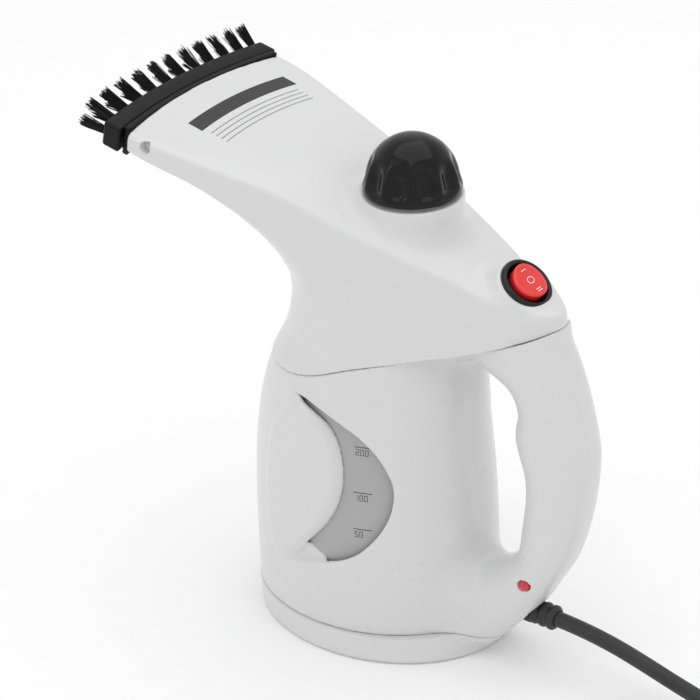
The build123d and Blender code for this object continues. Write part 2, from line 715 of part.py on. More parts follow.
# ---------------------------------------------------------------- mains cord
# cord beyond the bushing, in the middle plane: x, z
cord_run = [(117.0, 23.2), (130.0, 20.9), (143.0, 17.8), (155.5, 14.5), (168.0, 11.5),
            (181.0, 8.6), (195.0, 5.8), (208.0, 4.1), (220.0, 3.7)]


def cord_bushing():
    bushing = standing(4.7, 19.0, z=-8) + standing(5.9, 11.0, z=-8)
    for k in range(3):
        bushing = bushing + standing(5.6, 2.6, z=1.8 + k * 4.2)
    bushing = bushing - Cylinder(cord_r + 0.06, 80)
    return Plane(origin=cord_exit, x_dir=PLUS_Y, z_dir=cord_dir) * bushing


def power_cord():
    straight = [cord_exit - cord_dir * 12.0, cord_exit - cord_dir * 6, cord_exit,
                cord_exit + cord_dir * 14.0]
    path = Edge.make_spline(straight + [Vector(x, 0, z) for x, z in cord_run],
                            tangents=[cord_dir, Vector(1, 0, 0)])
    return swept(cord_r, path)


def cord_clamp():
    return box(5.0, 26.0, 3.0, 72.0, 0, 30.6)


# ---------------------------------------------------------------- export
left_half, right_half = body_halves()
save(left_half, "body_shell_left")
save(right_half, "body_shell_right")

# each function carries the name of its piece
for piece in (
    head_shell, base_cover, base_screws, body_screws,
    water_tank, filler_neck, neck_seal, steam_dome,
    heater_gasket, heater_plate, heater_element, heater_retainer, heater_screws,
    thermostat, thermal_fuse,
    steam_duct, steam_hose, hose_clips, steam_outlet, brush_bar, brush_bristles,
    cap_dome, cap_plug, cap_seal, cap_screw,
    switch_housing, rocker_button, switch_terminals,
    indicator_lens, indicator_lamp, cord_bushing, power_cord, cord_clamp,
):
    save(piece(), piece.__name__)
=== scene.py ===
"""Handheld garment steamer with a brush head, standing on its foot.

The foot rests on z = 0. The mouth and brush face -X, the grip is on the +X side and the cord
leaves toward +X. Y runs across the width and y = 0 is the middle plane.
Dimensions are in millimetres and are scaled by MM as meshes are made. The stage is in metres.
The large shells are distance fields (negative inside) turned into meshes.
"""

import json
import math
from functools import reduce

import bpy
import bmesh
import numpy as np
import openvdb as vdb
from mathutils import Vector, Matrix

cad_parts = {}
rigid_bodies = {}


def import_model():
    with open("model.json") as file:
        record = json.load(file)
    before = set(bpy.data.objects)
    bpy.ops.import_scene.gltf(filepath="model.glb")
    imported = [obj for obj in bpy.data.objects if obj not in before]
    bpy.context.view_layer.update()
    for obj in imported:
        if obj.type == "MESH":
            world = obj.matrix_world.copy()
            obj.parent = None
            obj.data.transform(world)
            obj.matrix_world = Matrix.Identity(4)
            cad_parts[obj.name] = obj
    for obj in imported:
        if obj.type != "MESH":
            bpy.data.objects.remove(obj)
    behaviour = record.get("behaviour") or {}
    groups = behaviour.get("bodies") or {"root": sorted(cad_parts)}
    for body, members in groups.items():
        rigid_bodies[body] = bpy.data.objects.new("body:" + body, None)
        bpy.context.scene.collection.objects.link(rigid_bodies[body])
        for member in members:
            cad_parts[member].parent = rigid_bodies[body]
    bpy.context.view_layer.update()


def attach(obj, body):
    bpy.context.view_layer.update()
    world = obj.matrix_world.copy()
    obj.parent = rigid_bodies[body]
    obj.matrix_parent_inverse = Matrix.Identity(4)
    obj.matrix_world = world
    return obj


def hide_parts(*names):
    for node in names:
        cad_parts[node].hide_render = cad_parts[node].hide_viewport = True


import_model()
MM = 0.001
TAU = 2 * math.pi

# ------------------------------------------------------------------ station tables

# x, z of the deck (top of the head), half width of the head at the deck
DECK = [
    (-130, 237, 53.2), (-110, 232.6, 53.2), (-92, 228.6, 52.6), (-79.5, 226.3, 52.2),
    (-70.2, 224.3, 50.9), (-60.9, 222.3, 48.8), (-51.6, 220.2, 46.7), (-42.3, 218, 44.6),
    (-33, 216, 42.2), (-23.7, 213.8, 40), (-14.4, 211.3, 38), (-5.1, 208.3, 36.3),
    (4.2, 205, 34.8), (13.5, 201.8, 33.3), (22.8, 198.6, 31.7), (32.1, 195.6, 29.9),
    (41.4, 192.6, 27.5), (50.7, 189.4, 24.9), (60, 185.8, 22.6), (69.3, 181.3, 20.6),
    (78.6, 176.6, 18.6), (88, 173.6, 15.8), (96, 172.4, 13.0), (100, 172.0, 11.6), (110, 171, 9),
]
# x, z of the seam between head and body
SEAM = [
    (-130, 126), (-50, 126), (-38, 126), (-25, 126.2), (-12, 128.4), (0, 132), (15, 138.4),
    (39.5, 146), (63, 152), (80, 158.7), (89, 163), (96, 166), (100, 168), (125, 178),
]
# x, half width of the head at the seam
SEAM_WIDTHS = [
    (-130, 38.5), (-40, 39.6), (-20, 40.2), (0, 40.0), (15, 39), (39.5, 32.2), (63, 23.2),
    (80, 18.4), (89, 16), (96, 13.2), (100, 11.8), (110, 10),
]
# z, x of the head's front, length of its elliptic nose, amount the waist is drawn in
FRONT = [
    (112, -50.6, 47, 0), (118, -49.4, 47, 0), (126, -46.5, 47, 0), (140, -38.6, 44, 1.2),
    (150, -35.6, 42, 1.9), (160, -34.2, 40, 2.4), (170, -35.4, 38, 2.2), (180, -40.6, 34, 1.4),
    (190, -48.8, 30, 0.5), (200, -62.6, 28.5, 0), (210, -81.0, 26, 0), (215, -90.5, 19, 0),
    (219, -98.5, 10.5, 0), (224, -109.0, 8, 0), (236, -126.0, 8, 0), (250, -140, 8, 0),
]
# z, half axis along X, half axis along Y, centre x of the body's oval
OVAL = [
    (-10, 57.2, 46.6, 0), (2, 57.4, 46.7, 0), (20, 57.8, 46.9, 0), (40, 58.0, 47.0, 0),
    (60, 57.7, 46.7, 0), (81, 56.8, 45.5, 0), (101, 54.4, 44.0, 0.5), (114, 52.8, 42.3, 2.1),
    (126, 50.2, 40.8, 4.0), (140, 45.9, 38.6, 6.6), (152, 44.0, 37.2, 7.3), (170, 43.0, 36.5, 7.5),
]


def gaussian(offsets, sigma):
    weights = np.exp(-0.5 * (offsets / sigma) ** 2)
    return weights / weights.sum()


class Stations:
    """Smoothed curve through one column of a station table, whose first column is the input."""
    STEP = 0.25

    def __init__(self, rows, column, sigma):
        table = np.array(rows, float)
        inputs = table[:, 0]
        self.grid = np.arange(inputs[0], inputs[-1] + self.STEP, self.STEP)
        values = np.interp(self.grid, inputs, table[:, column])
        reach = int(4 * sigma / self.STEP)
        kernel = gaussian(np.arange(-reach, reach + 1) * self.STEP, sigma)
        before = values[0] + np.arange(-reach, 0) * (values[1] - values[0])
        after = values[-1] + np.arange(1, reach + 1) * (values[-1] - values[-2])
        self.values = np.convolve(np.concatenate([before, values, after]), kernel, mode="valid")
        self.slopes = np.gradient(self.values, self.grid)

    def __call__(self, at):
        return np.interp(at, self.grid, self.values)

    def slope(self, at):
        return np.interp(at, self.grid, self.slopes)


deck_z = Stations(DECK, 1, sigma=3.0)
deck_width = Stations(DECK, 2, sigma=3.0)
seam_z = Stations(SEAM, 1, sigma=3.0)
seam_width = Stations(SEAM_WIDTHS, 1, sigma=4.0)
front_x = Stations(FRONT, 1, sigma=2.2)
nose_length = Stations(FRONT, 2, sigma=2.2)
waist = Stations(FRONT, 3, sigma=3.0)
oval_x = Stations(OVAL, 1, sigma=4.0)
oval_y = Stations(OVAL, 2, sigma=4.0)
oval_centre = Stations(OVAL, 3, sigma=4.0)

# ------------------------------------------------------------------ side outlines

# x, z points of closed curves
GRIP_OUTLINE = [
    (98.6, 170), (101.8, 160), (105.9, 151), (110.6, 138), (114.2, 124), (116.4, 111),
    (115.9, 98), (113.9, 84), (110.6, 70), (106.0, 57), (99.8, 46), (93.6, 35.6), (86.4, 25.2),
    (75, 12.5), (66, 4), (50, 0), (30, 8), (30, 38), (50, 42), (64, 43.6), (72, 47.5),
    (77.6, 52.2), (80.9, 58.5), (82.5, 69), (83.9, 79), (84.6, 88), (84.0, 96.5), (81.7, 104),
    (79.6, 112), (79.6, 118.5), (80.8, 123.5), (80.0, 128.6), (77.6, 133.2), (72, 137),
    (62, 141.5), (50, 146), (50, 172), (80, 176),
]
WINDOW_OUTLINE = [
    (-14.5, 121.8), (-6, 120.6), (2.5, 118.2), (9, 115.6), (14.6, 113.0), (20.6, 109.6),
    (25.7, 105.4), (29.6, 100.6), (32.6, 95.4), (35.6, 88), (36.3, 80.6), (34.8, 71.3),
    (30.7, 62.3), (24.3, 53.9), (18.5, 49.2), (12.6, 46.2), (3.4, 43.0), (-10, 38.8),
    (-24, 35.5), (-60, 34), (-60, 132), (-30, 131),
]
CHEEK_OUTLINE = [
    (-14.5, 121.0), (-8.0, 117.6), (-1.5, 114.6), (4.2, 111.4), (9.2, 106.0), (12.3, 97.8),
    (13.4, 88), (12.6, 79.1), (9.4, 69.4), (3.8, 60.4), (-3.2, 52.4), (-9.0, 46.6), (-16, 41),
    (-26, 35.5), (-60, 30), (-80, 80), (-60, 130),
]
# the leaf's -X edge; its +X edge is the cheek's, run backward
LEAF_OUTLINE = [
    (-15.5, 118.0), (-18.8, 114.0), (-27.0, 103.3), (-31.0, 88.4), (-33.0, 72), (-32.5, 58.4),
    (-29.5, 46), (-24.9, 36.4),
] + CHEEK_OUTLINE[12:0:-1]


def closed_curve(points, per_span):
    """Closed Catmull-Rom curve through the points."""
    p1 = np.array(points, float)
    p0, p2, p3 = np.roll(p1, 1, 0), np.roll(p1, -1, 0), np.roll(p1, -2, 0)
    samples = []
    for t in np.linspace(0, 1, per_span, endpoint=False):
        samples.append(0.5 * ((2 * p1) + (-p0 + p2) * t
                              + (2 * p0 - 5 * p1 + 4 * p2 - p3) * t * t
                              + (-p0 + 3 * p1 - 3 * p2 + p3) * t ** 3))
    return np.stack(samples, 1).reshape(-1, 2)


class Outline:
    """Signed distance to a closed XZ curve, sampled once on a fine map and blurred."""
    PAD = 30
    STEP = 0.5
    BLUR_REACH = 8
    BLUR_SIGMA = 2.2

    def __init__(self, points, per_span):
        curve = closed_curve(points, per_span)
        self.low = curve.min(0) - self.PAD
        high = curve.max(0) + self.PAD
        grid = np.meshgrid(np.arange(self.low[0], high[0], self.STEP),
                           np.arange(self.low[1], high[1], self.STEP), indexing="ij")
        spots = np.stack([axis.ravel() for axis in grid], 1)
        nearest = np.full(len(spots), 1e9)
        inside = np.zeros(len(spots), bool)
        for start, end in zip(curve, np.roll(curve, -1, 0)):
            edge = end - start
            offset = spots - start
            t = np.clip((offset @ edge) / (edge * edge).sum(), 0, 1)
            gap = offset - t[:, None] * edge
            nearest = np.minimum(nearest, (gap * gap).sum(1))
            if abs(edge[1]) > 1e-12:
                spans = (start[1] > spots[:, 1]) != (end[1] > spots[:, 1])
                crossing = start[0] + (spots[:, 1] - start[1]) * edge[0] / edge[1]
                inside ^= spans & (spots[:, 0] < crossing)
        nearest = np.sqrt(nearest)
        self.map = self.blur(np.where(inside, -nearest, nearest).reshape(grid[0].shape))

    def blur(self, field):
        reach = self.BLUR_REACH
        kernel = gaussian(np.arange(-reach, reach + 1), self.BLUR_SIGMA)
        # each pass blurs the first axis and swaps the two
        for _ in range(2):
            padded = np.pad(field, ((reach, reach), (0, 0)), mode="reflect", reflect_type="odd")
            rows = field.shape[0]
            field = sum(kernel[i] * padded[i:i + rows] for i in range(2 * reach + 1)).T
        return field

    def __call__(self, x, z):
        u = np.clip((x - self.low[0]) / self.STEP, 0, self.map.shape[0] - 1.001)
        v = np.clip((z - self.low[1]) / self.STEP, 0, self.map.shape[1] - 1.001)
        i = u.astype(int)
        j = v.astype(int)
        fu, fv = u - i, v - j
        m = self.map
        return (m[i, j] * (1 - fu) * (1 - fv) + m[i + 1, j] * fu * (1 - fv)
                + m[i, j + 1] * (1 - fu) * fv + m[i + 1, j + 1] * fu * fv)


grip_outline = Outline(GRIP_OUTLINE, per_span=16)
window_outline = Outline(WINDOW_OUTLINE, per_span=8)
cheek_outline = Outline(CHEEK_OUTLINE, per_span=8)
leaf_outline = Outline(LEAF_OUTLINE, per_span=8)

# ------------------------------------------------------------------ shared places

WALL = 2.2
FOOT_HEIGHT = 12.0
SEAM_GAP = 0.05

# mouth: a face bowed about a centre behind it, tipped up from -X
MOUTH_TILT = math.radians(12.0)
MOUTH_OUT = np.array([-math.cos(MOUTH_TILT), 0, math.sin(MOUTH_TILT)])
MOUTH_UP = np.array([math.sin(MOUTH_TILT), 0, math.cos(MOUTH_TILT)])
MOUTH = np.array([-92.3, 0, 231.1])
MOUTH_ARC = 280.0
MOUTH_CENTRE = MOUTH - MOUTH_OUT * MOUTH_ARC

# switch: round, on the slope at the +X end of the deck
SWITCH_TILT = math.radians(38.0)
SWITCH = np.array([81.5, 0, 182.3])
SWITCH_OUT = np.array([math.sin(SWITCH_TILT), 0, math.cos(SWITCH_TILT)])
SWITCH_DOWN = np.array([math.cos(SWITCH_TILT), 0, -math.sin(SWITCH_TILT)])

CAP_X = 24.0
DIMPLE_X, DIMPLE_Z = -79.5, 223.2
LAMP_X, LAMP_Z = 88.6, 44.8
CORD_X, CORD_Z = 84.0, 24.5
CORD_HOLE_SLOPE = 0.0175
TANK_INSET = 3.6

# ------------------------------------------------------------------ field helpers


def smooth_max(a, b, blend):
    near = np.maximum(blend - np.abs(a - b), 0.0) / blend
    return np.maximum(a, b) + near * near * blend * 0.25


def smooth_min(a, b, blend):
    return -smooth_max(-a, -b, blend)


def smooth_step(value, start, end):
    t = np.clip((value - start) / (end - start), 0, 1)
    return t * t * (3 - 2 * t)


def overlap(*fields):
    return reduce(np.maximum, fields)


def hollow(solid, wall):
    return np.maximum(solid, -(solid + wall))


def length(a, b):
    return np.sqrt(a * a + b * b)


def along(x, z, origin, axis):
    return (x - origin[0]) * axis[0] + (z - origin[2]) * axis[2]


def ellipse(x, y, half_x, half_y):
    """Near-true distance to an ellipse centred on the origin."""
    u, v = x / half_x, y / half_y
    r = np.sqrt(u * u + v * v) + 1e-9
    return (r - 1) / np.sqrt((u * u / half_x ** 2 + v * v / half_y ** 2) / r ** 2 + 1e-12)


def below_seam(x, z):
    return (seam_z(x) - z) / np.sqrt(1 + seam_z.slope(x) ** 2)


# ------------------------------------------------------------------ body


def oval(x, y, z):
    return ellipse(x - oval_centre(z), y, oval_x(z), oval_y(z))


def grip(x, y, z):
    """Side outline given a width and a rounded edge; wider at the foot and under the head."""
    edge = 12.4
    half_width = (13.6 + 5.0 * smooth_step(z, 62, 12) * smooth_step(x, 100, 70)
                  + 2.6 * smooth_step(z, 136, 166) * smooth_step(x, 98, 84))
    out = grip_outline(x, z) + edge
    across = np.abs(y) - half_width + edge
    corner = length(np.maximum(out, 0), np.maximum(across, 0))
    return corner + np.minimum(np.maximum(out, across), 0) - edge


def body_solid(x, y, z):
    leaf_rise, hollow_depth, cheek_roll = 0.75, 2.9, 1.9
    field = smooth_min(oval(x, y, z), grip(x, y, z), 11.0)
    side = smooth_step(np.abs(y), 14, 24)
    # raised leaf on each side
    field = field - leaf_rise * smooth_step(-leaf_outline(x, z), 0.0, 3.2) * side
    # hollow that runs out at the lower end of the window
    cheek = cheek_outline(x, z)
    recess = np.maximum(window_outline(x, z), -cheek)
    field = field + (hollow_depth * smooth_step(-recess, -0.4, 2.6) * side
                     * smooth_step(x, -25.0, 0.0) * smooth_step(z, 30, 38)
                     * (1 - smooth_step(x, 6.0, 14.0)) * (1 - smooth_step(z, 62, 76)))
    # the cheek rolls over toward the window
    roll = np.clip(1 + cheek / 5.0, 0, 1) ** 2 * (1 - smooth_step(cheek, 0.3, 3.0))
    return field + (cheek_roll * roll * side * smooth_step(z, 46, 58)
                    * (1 - smooth_step(z, 108, 119)))


def body(x, y, z):
    cord_hole, lamp_hole = 6.0, 2.75
    field = hollow(body_solid(x, y, z), WALL)
    # level window on both sides, with its lower corner cut on a slant
    corner = -(x + 6.2) * 0.477 - (z - 51.2) * 0.879
    window = overlap(window_outline(x, z) + 0.5, -cheek_outline(x, z) + 0.2,
                     14.0 - np.abs(y), corner, -12.0 - x)
    field = smooth_max(field, -window, 1.2)
    field = smooth_max(field, -below_seam(x, z) + SEAM_GAP, 0.35)
    field = smooth_max(field, FOOT_HEIGHT + 0.08 - z, 0.35)
    # cord hole, only through the +X wall; lamp hole, only on the -Y side
    cord = length(y, z - CORD_Z + (x - CORD_X) * CORD_HOLE_SLOPE)
    field = np.maximum(field, cord_hole - cord - 100 * (x < 70))
    lamp = np.where(y < 0, lamp_hole - length(x - LAMP_X, z - LAMP_Z), -50.0)
    return smooth_max(field, lamp, 0.5)


# ------------------------------------------------------------------ head


def head_side(x, y, z):
    """Upright wall of the head: elliptic nose, tapering flanks and a short elliptic tail."""
    tail_x, tail_length, least_width = 89.0, 11.6, 6.0
    flank_lean = 1.1    # allowance for the sloping flanks in the distance estimate
    nose = nose_length(z)
    nose_end = front_x(z) + nose
    station = np.maximum(x, nose_end)
    seam, low_width = seam_z(station), seam_width(station)
    rise = np.clip((z - seam) / (deck_z(station) - seam), -0.3, 1.25)
    width = low_width + rise * (deck_width(station) - low_width) - waist(z)
    width = np.maximum(width, least_width)
    ahead = np.maximum(nose_end - x, 0) / nose
    behind = np.maximum(x - tail_x, 0) / tail_length
    across = y / width
    r = np.sqrt(ahead * ahead + behind * behind + across * across) + 1e-9
    lean = front_x.slope(z) + nose_length.slope(z)
    slope = np.sqrt((ahead * ahead * (1 + lean ** 2) / nose ** 2
                     + behind * behind / tail_length ** 2
                     + across * across * flank_lean / width ** 2) / r ** 2 + 1e-12)
    return (r - 1) / slope


def deck(x, y, z):
    crown = 2.3 * (1 - np.minimum(1.0, (y / deck_width(x)) ** 2))
    return (z - deck_z(x) - crown) / np.sqrt(1 + deck_z.slope(x) ** 2)


def switch_coords(x, y, z):
    """Distance from the switch axis, and height along it."""
    return length(along(x, z, SWITCH, SWITCH_DOWN), y), along(x, z, SWITCH, SWITCH_OUT)


def head_solid(x, y, z):
    switch_pad, collar, collar_top = 13.3, 22.1, 209.9
    field = smooth_max(deck(x, y, z), head_side(x, y, z), 3.6)
    # round pad under the switch
    radius, height = switch_coords(x, y, z)
    pad = smooth_max(radius - switch_pad, height - 0.1, 2.4)
    field = smooth_min(field, np.maximum(pad, -height - 14), 8.0)
    # round collar under the filler cap
    rim = smooth_max(length(x - CAP_X, y) - collar, z - collar_top, 1.0)
    return smooth_min(field, np.maximum(rim, 190 - z), 9.0)


def head(x, y, z):
    filler_hole, switch_hole = 17.5, 10.3
    solid = head_solid(x, y, z)
    field = hollow(solid, WALL)
    mouth = length(along(x, z, MOUTH_CENTRE, MOUTH_OUT), y) - MOUTH_ARC
    field = smooth_max(field, mouth, 0.8)
    # ledge that closes the underside out to the skirt
    seam = below_seam(x, z)
    ledge = overlap(solid, -WALL - seam, -(body_solid(x, y, z) + WALL))
    field = np.minimum(field, ledge)
    field = smooth_max(field, seam + SEAM_GAP, 0.5)
    # holes under the cap and the switch, through the deck only
    field = np.maximum(field, filler_hole - length(x - CAP_X, y) - 100 * (z < 185))
    radius, height = switch_coords(x, y, z)
    field = np.maximum(field, switch_hole - radius - 100 * (height < -20))
    # boss inside each flank with a round dimple outside
    dimple = length(x - DIMPLE_X, z - DIMPLE_Z)
    field = np.minimum(field, overlap(dimple - 4.6, 45.2 - np.abs(y), solid))
    field = smooth_max(field, np.minimum(2.5 - dimple, np.abs(y) - 47.7), 0.7)
    # wide slot behind the mouth
    mouth_height = along(x, z, MOUTH, MOUTH_UP)
    slot = overlap(np.abs(y) - 45.5, -mouth - 5.5, np.abs(mouth_height + 7.0) - 3.8)
    return np.maximum(field, -slot)


# ------------------------------------------------------------------ foot and tank

SCREW_PLACES = ((-36.0, 31.6), (-36.0, -31.6), (40.0, 28.3), (40.0, -28.3))    # x, y
VENT_PITCH = 6.0


def foot(x, y, z):
    t = np.clip(z / FOOT_HEIGHT, 0, 1)
    outer = ellipse(x - (4.0 - 1.6 * t), y, 60.8 - 0.9 * t, 49.3 - 0.8 * t)
    outer = smooth_min(outer, np.maximum(grip(x, y, z), -z + 0.6), 5.0)
    solid = smooth_max(outer, -z, 2.4)
    field = hollow(solid, WALL)
    # rim that reaches in under the body wall
    wall = body_solid(x, y, z)
    field = np.minimum(field, overlap(solid, 9.8 - z, -(wall + 2.6)))
    field = smooth_max(field, z - FOOT_HEIGHT, 0.5)
    # lip that stands up inside the body wall
    field = np.minimum(field, overlap(wall + 2.45, -(wall + 3.9), z - 15.2, 6.0 - z))
    # screw bosses: post, through hole and wider hole from below
    for place_x, place_y in SCREW_PLACES:
        radius = length(x - place_x, y - place_y)
        field = np.minimum(field, overlap(radius - 4.3, -z, z - FOOT_HEIGHT))
        field = np.maximum(field, 1.6 - radius)
        field = smooth_max(field, np.minimum(3.2 - radius, 5.0 - z), 0.4)
    # slots through the floor, shorter away from the middle
    for k in (-3, -2, -1, 1, 2, 3):
        slot = np.maximum(np.abs(x - VENT_PITCH * k) - 1.5, np.abs(y) - (15 - abs(k) * 1.5))
        field = smooth_max(field, np.minimum(-slot, 6.0 - z), 0.5)
    return field


def tank(x, y, z):
    bottom, top = 31.0, 122.0
    solid = smooth_max(oval(x, y, z) + TANK_INSET, z - top, 6.0)
    return hollow(smooth_max(solid, bottom - z, 2.0), 1.8)


# ------------------------------------------------------------------ meshing


def link_object(name, data):
    ob = bpy.data.objects.new(name, data)
    bpy.context.collection.objects.link(ob)
    return ob


def sample(field, points):
    return field(*np.moveaxis(points, -1, 0))


def gradient(field, points, reach=0.2):
    slopes = np.empty_like(points)
    for i in range(3):
        shift = np.zeros(3)
        shift[i] = reach
        ahead, behind = sample(field, points + shift), sample(field, points - shift)
        slopes[:, i] = (ahead - behind) / (2 * reach)
    return slopes


def newton_step(points, values, slopes, limit):
    """Damped step toward the zero surface, held to a limit."""
    steps = (values / ((slopes * slopes).sum(1) + 1e-6))[:, None] * slopes
    held = np.minimum(1.0, limit / (np.linalg.norm(steps, axis=1) + 1e-9))
    return points - steps * held[:, None] * 0.9


def field_surface(field, low, high, cell):
    """Points and quads on the zero surface, evened out by relaxing along it."""
    y_shift = 0.013    # fraction of a cell the grid is moved along Y
    passes, slab = 4, 24
    low, high = np.array(low, float), np.array(high, float)
    count = np.ceil((high - low) / cell).astype(int) + 1
    xs = low[0] + cell * np.arange(count[0])
    ys = low[1] + cell * (np.arange(count[1]) + y_shift)
    zs = low[2] + cell * np.arange(count[2])
    volume = np.empty(tuple(count), np.float32)
    for i in range(0, count[0], slab):    # slabs limit the memory in use
        volume[i:i + slab] = field(xs[i:i + slab, None, None], ys[:, None], zs)
    outside = 3.0 * cell
    volume = np.clip(volume, -outside, outside)
    volume[0] = volume[-1] = outside
    volume[:, 0] = volume[:, -1] = outside
    volume[:, :, 0] = volume[:, :, -1] = outside
    grid = vdb.FloatGrid(outside)
    grid.copyFromArray(volume)
    points, quads = grid.convertToQuads(0.0)
    points = np.array(points, float) * cell + low
    points[:, 1] += y_shift * cell
    quads = np.array(quads, int)
    for _ in range(passes):
        points = newton_step(points, sample(field, points), gradient(field, points), 0.45 * cell)

    total = len(points)
    edges = np.concatenate([quads[:, pair] for pair in ([0, 1], [1, 2], [2, 3], [3, 0])])
    edges = np.concatenate([edges, edges[:, ::-1]])
    start, end = edges[:, 0], edges[:, 1]
    neighbours = np.bincount(start, minlength=total).astype(float)
    for _ in range(passes):
        sums = [np.bincount(start, weights=points[end, k], minlength=total) for k in range(3)]
        slopes = gradient(field, points)
        move = np.stack(sums, 1) / neighbours[:, None] - points
        normal_part = (move * slopes).sum(1) / ((slopes * slopes).sum(1) + 1e-6)
        points = points + 0.55 * (move - normal_part[:, None] * slopes)
        points = newton_step(points, sample(field, points), slopes, 0.4 * cell)
    return points, quads


def set_field_normals(mesh, field):
    """Take normals from the field, except where they stray from the mesh's own."""
    coords = np.empty(len(mesh.vertices) * 3, np.float32)
    mesh.vertices.foreach_get("co", coords)
    normals = gradient(field, coords.reshape(-1, 3).astype(float) / MM, 0.35)
    normals /= np.linalg.norm(normals, axis=1)[:, None] + 1e-9
    own = np.empty(len(mesh.vertices) * 3, np.float32)
    mesh.vertices.foreach_get("normal", own)
    own = own.reshape(-1, 3)
    stray = (normals * own).sum(1) < 0.6
    normals[stray] = own[stray]
    mesh.normals_split_custom_set_from_vertices(normals.astype(np.float32).tolist())


def fill_mesh(bm, mesh, smooth, matrix=None):
    """smooth is "all", "quads" or "none"."""
    bmesh.ops.recalc_face_normals(bm, faces=bm.faces)
    for face in bm.faces:
        face.smooth = smooth == "all" or (smooth == "quads" and len(face.verts) == 4)
    bm.to_mesh(mesh)
    bm.free()
    if matrix is not None:
        mesh.transform(matrix)


def field_object(name, field, low, high, cell):
    points, quads = field_surface(field, low, high, cell)
    mesh = bpy.data.meshes.new(name)
    mesh.vertices.add(len(points))
    mesh.vertices.foreach_set("co", (points * MM).astype(np.float32).ravel())
    mesh.loops.add(quads.size)
    mesh.polygons.add(len(quads))
    mesh.loops.foreach_set("vertex_index", quads[:, ::-1].astype(np.int32).ravel())
    mesh.polygons.foreach_set("loop_start", np.arange(0, quads.size, 4, dtype=np.int32))
    mesh.update(calc_edges=True)
    mesh.validate()
    bm = bmesh.new()
    bm.from_mesh(mesh)
    fill_mesh(bm, mesh, "all")
    set_field_normals(mesh, field)
    return link_object(name, mesh)


def bm_object(name, bm, smooth="all", matrix=None):
    mesh = bpy.data.meshes.new(name)
    fill_mesh(bm, mesh, smooth, matrix)
    return link_object(name, mesh)


def vertex(bm, point):
    return bm.verts.new([c * MM for c in point])


def loft(bm, rings, closed=False):
    """Join rings of vertices in turn; a ring of one vertex is a pole."""
    for k in range(len(rings) if closed else len(rings) - 1):
        a, b = rings[k], rings[(k + 1) % len(rings)]
        if len(a) == 1 and len(b) == 1:
            continue
        count = max(len(a), len(b))
        for i in range(count):
            j = (i + 1) % count
            if len(a) == 1:
                bm.faces.new((a[0], b[j], b[i]))
            elif len(b) == 1:
                bm.faces.new((a[i], a[j], b[0]))
            else:
                bm.faces.new((a[i], a[j], b[j], b[i]))


def capped_loft(bm, rings):
    loft(bm, rings)
    bm.faces.new(rings[0][::-1])
    bm.faces.new(rings[-1])


def turned_ring(bm, radius, z, count, cut=lambda angle, z: 0.0):
    """Ring about Z, or a pole at zero radius; cut gives a depth taken off the radius."""
    if radius < 1e-6:
        return [vertex(bm, (0, 0, z))]
    ring = []
    for i in range(count):
        angle = TAU * i / count
        r = radius - cut(angle, z)
        ring.append(vertex(bm, (r * math.cos(angle), r * math.sin(angle), z)))
    return ring


def turned_object(name, profile, count, matrix):
    """Closed profile of (radius, z) turned about Z."""
    bm = bmesh.new()
    loft(bm, [turned_ring(bm, r, z, count) for r, z in profile], closed=True)
    return bm_object(name, bm, matrix=matrix)


def round_ring(bm, centre, radius, side, up, angles):
    return [vertex(bm, centre + radius * (math.cos(q) * side + math.sin(q) * up))
            for q in angles]


def tube_object(name, path, radii, count):
    """Closed tube along a line of points, with a radius at each."""
    path = np.array(path, float)
    tangents = np.gradient(path, axis=0)
    tangents /= np.linalg.norm(tangents, axis=1)[:, None]
    angles = np.linspace(0, TAU, count, endpoint=False)
    bm = bmesh.new()
    rings = []
    for point, tangent, radius in zip(path, tangents, radii):
        side = np.cross([0, 1.0, 0], tangent)
        side /= np.linalg.norm(side)
        rings.append(round_ring(bm, point, radius, side, np.cross(tangent, side), angles))
    capped_loft(bm, rings)
    return bm_object(name, bm, "quads")


def thin_strip(bm, rows):
    """Thin slab; each row has two edges and each edge is a (top, bottom) pair of points."""
    rows = [[[vertex(bm, point) for point in edge] for edge in row] for row in rows]
    for (a, d), (b, c) in zip(rows, rows[1:]):
        bm.faces.new((a[0], b[0], c[0], d[0]))
        bm.faces.new((a[1], d[1], c[1], b[1]))
        bm.faces.new((a[0], a[1], b[1], b[0]))
        bm.faces.new((d[0], c[0], c[1], d[1]))
    a, d = rows[0]
    bm.faces.new((a[0], d[0], d[1], a[1]))
    a, d = rows[-1]
    bm.faces.new((a[0], a[1], d[1], d[0]))


def resample(points, count):
    """Evenly spaced points along a polyline."""
    points = np.array(points, float)
    steps = np.linalg.norm(np.diff(points, axis=0), axis=1)
    travel = np.concatenate([[0], np.cumsum(steps)])
    stops = np.linspace(0, travel[-1], count)
    return np.stack([np.interp(stops, travel, column) for column in points.T], 1)


def placed_along(point, direction):
    """Matrix that moves the origin to a point and turns Z to a direction."""
    turn = Vector((0, 0, 1)).rotation_difference(Vector(direction)).to_matrix().to_4x4()
    return Matrix.Translation(Vector([c * MM for c in point])) @ turn


# ------------------------------------------------------------------ materials

MOTTLE_SCALE = 60.0
BUMP_DISTANCE = 0.0006


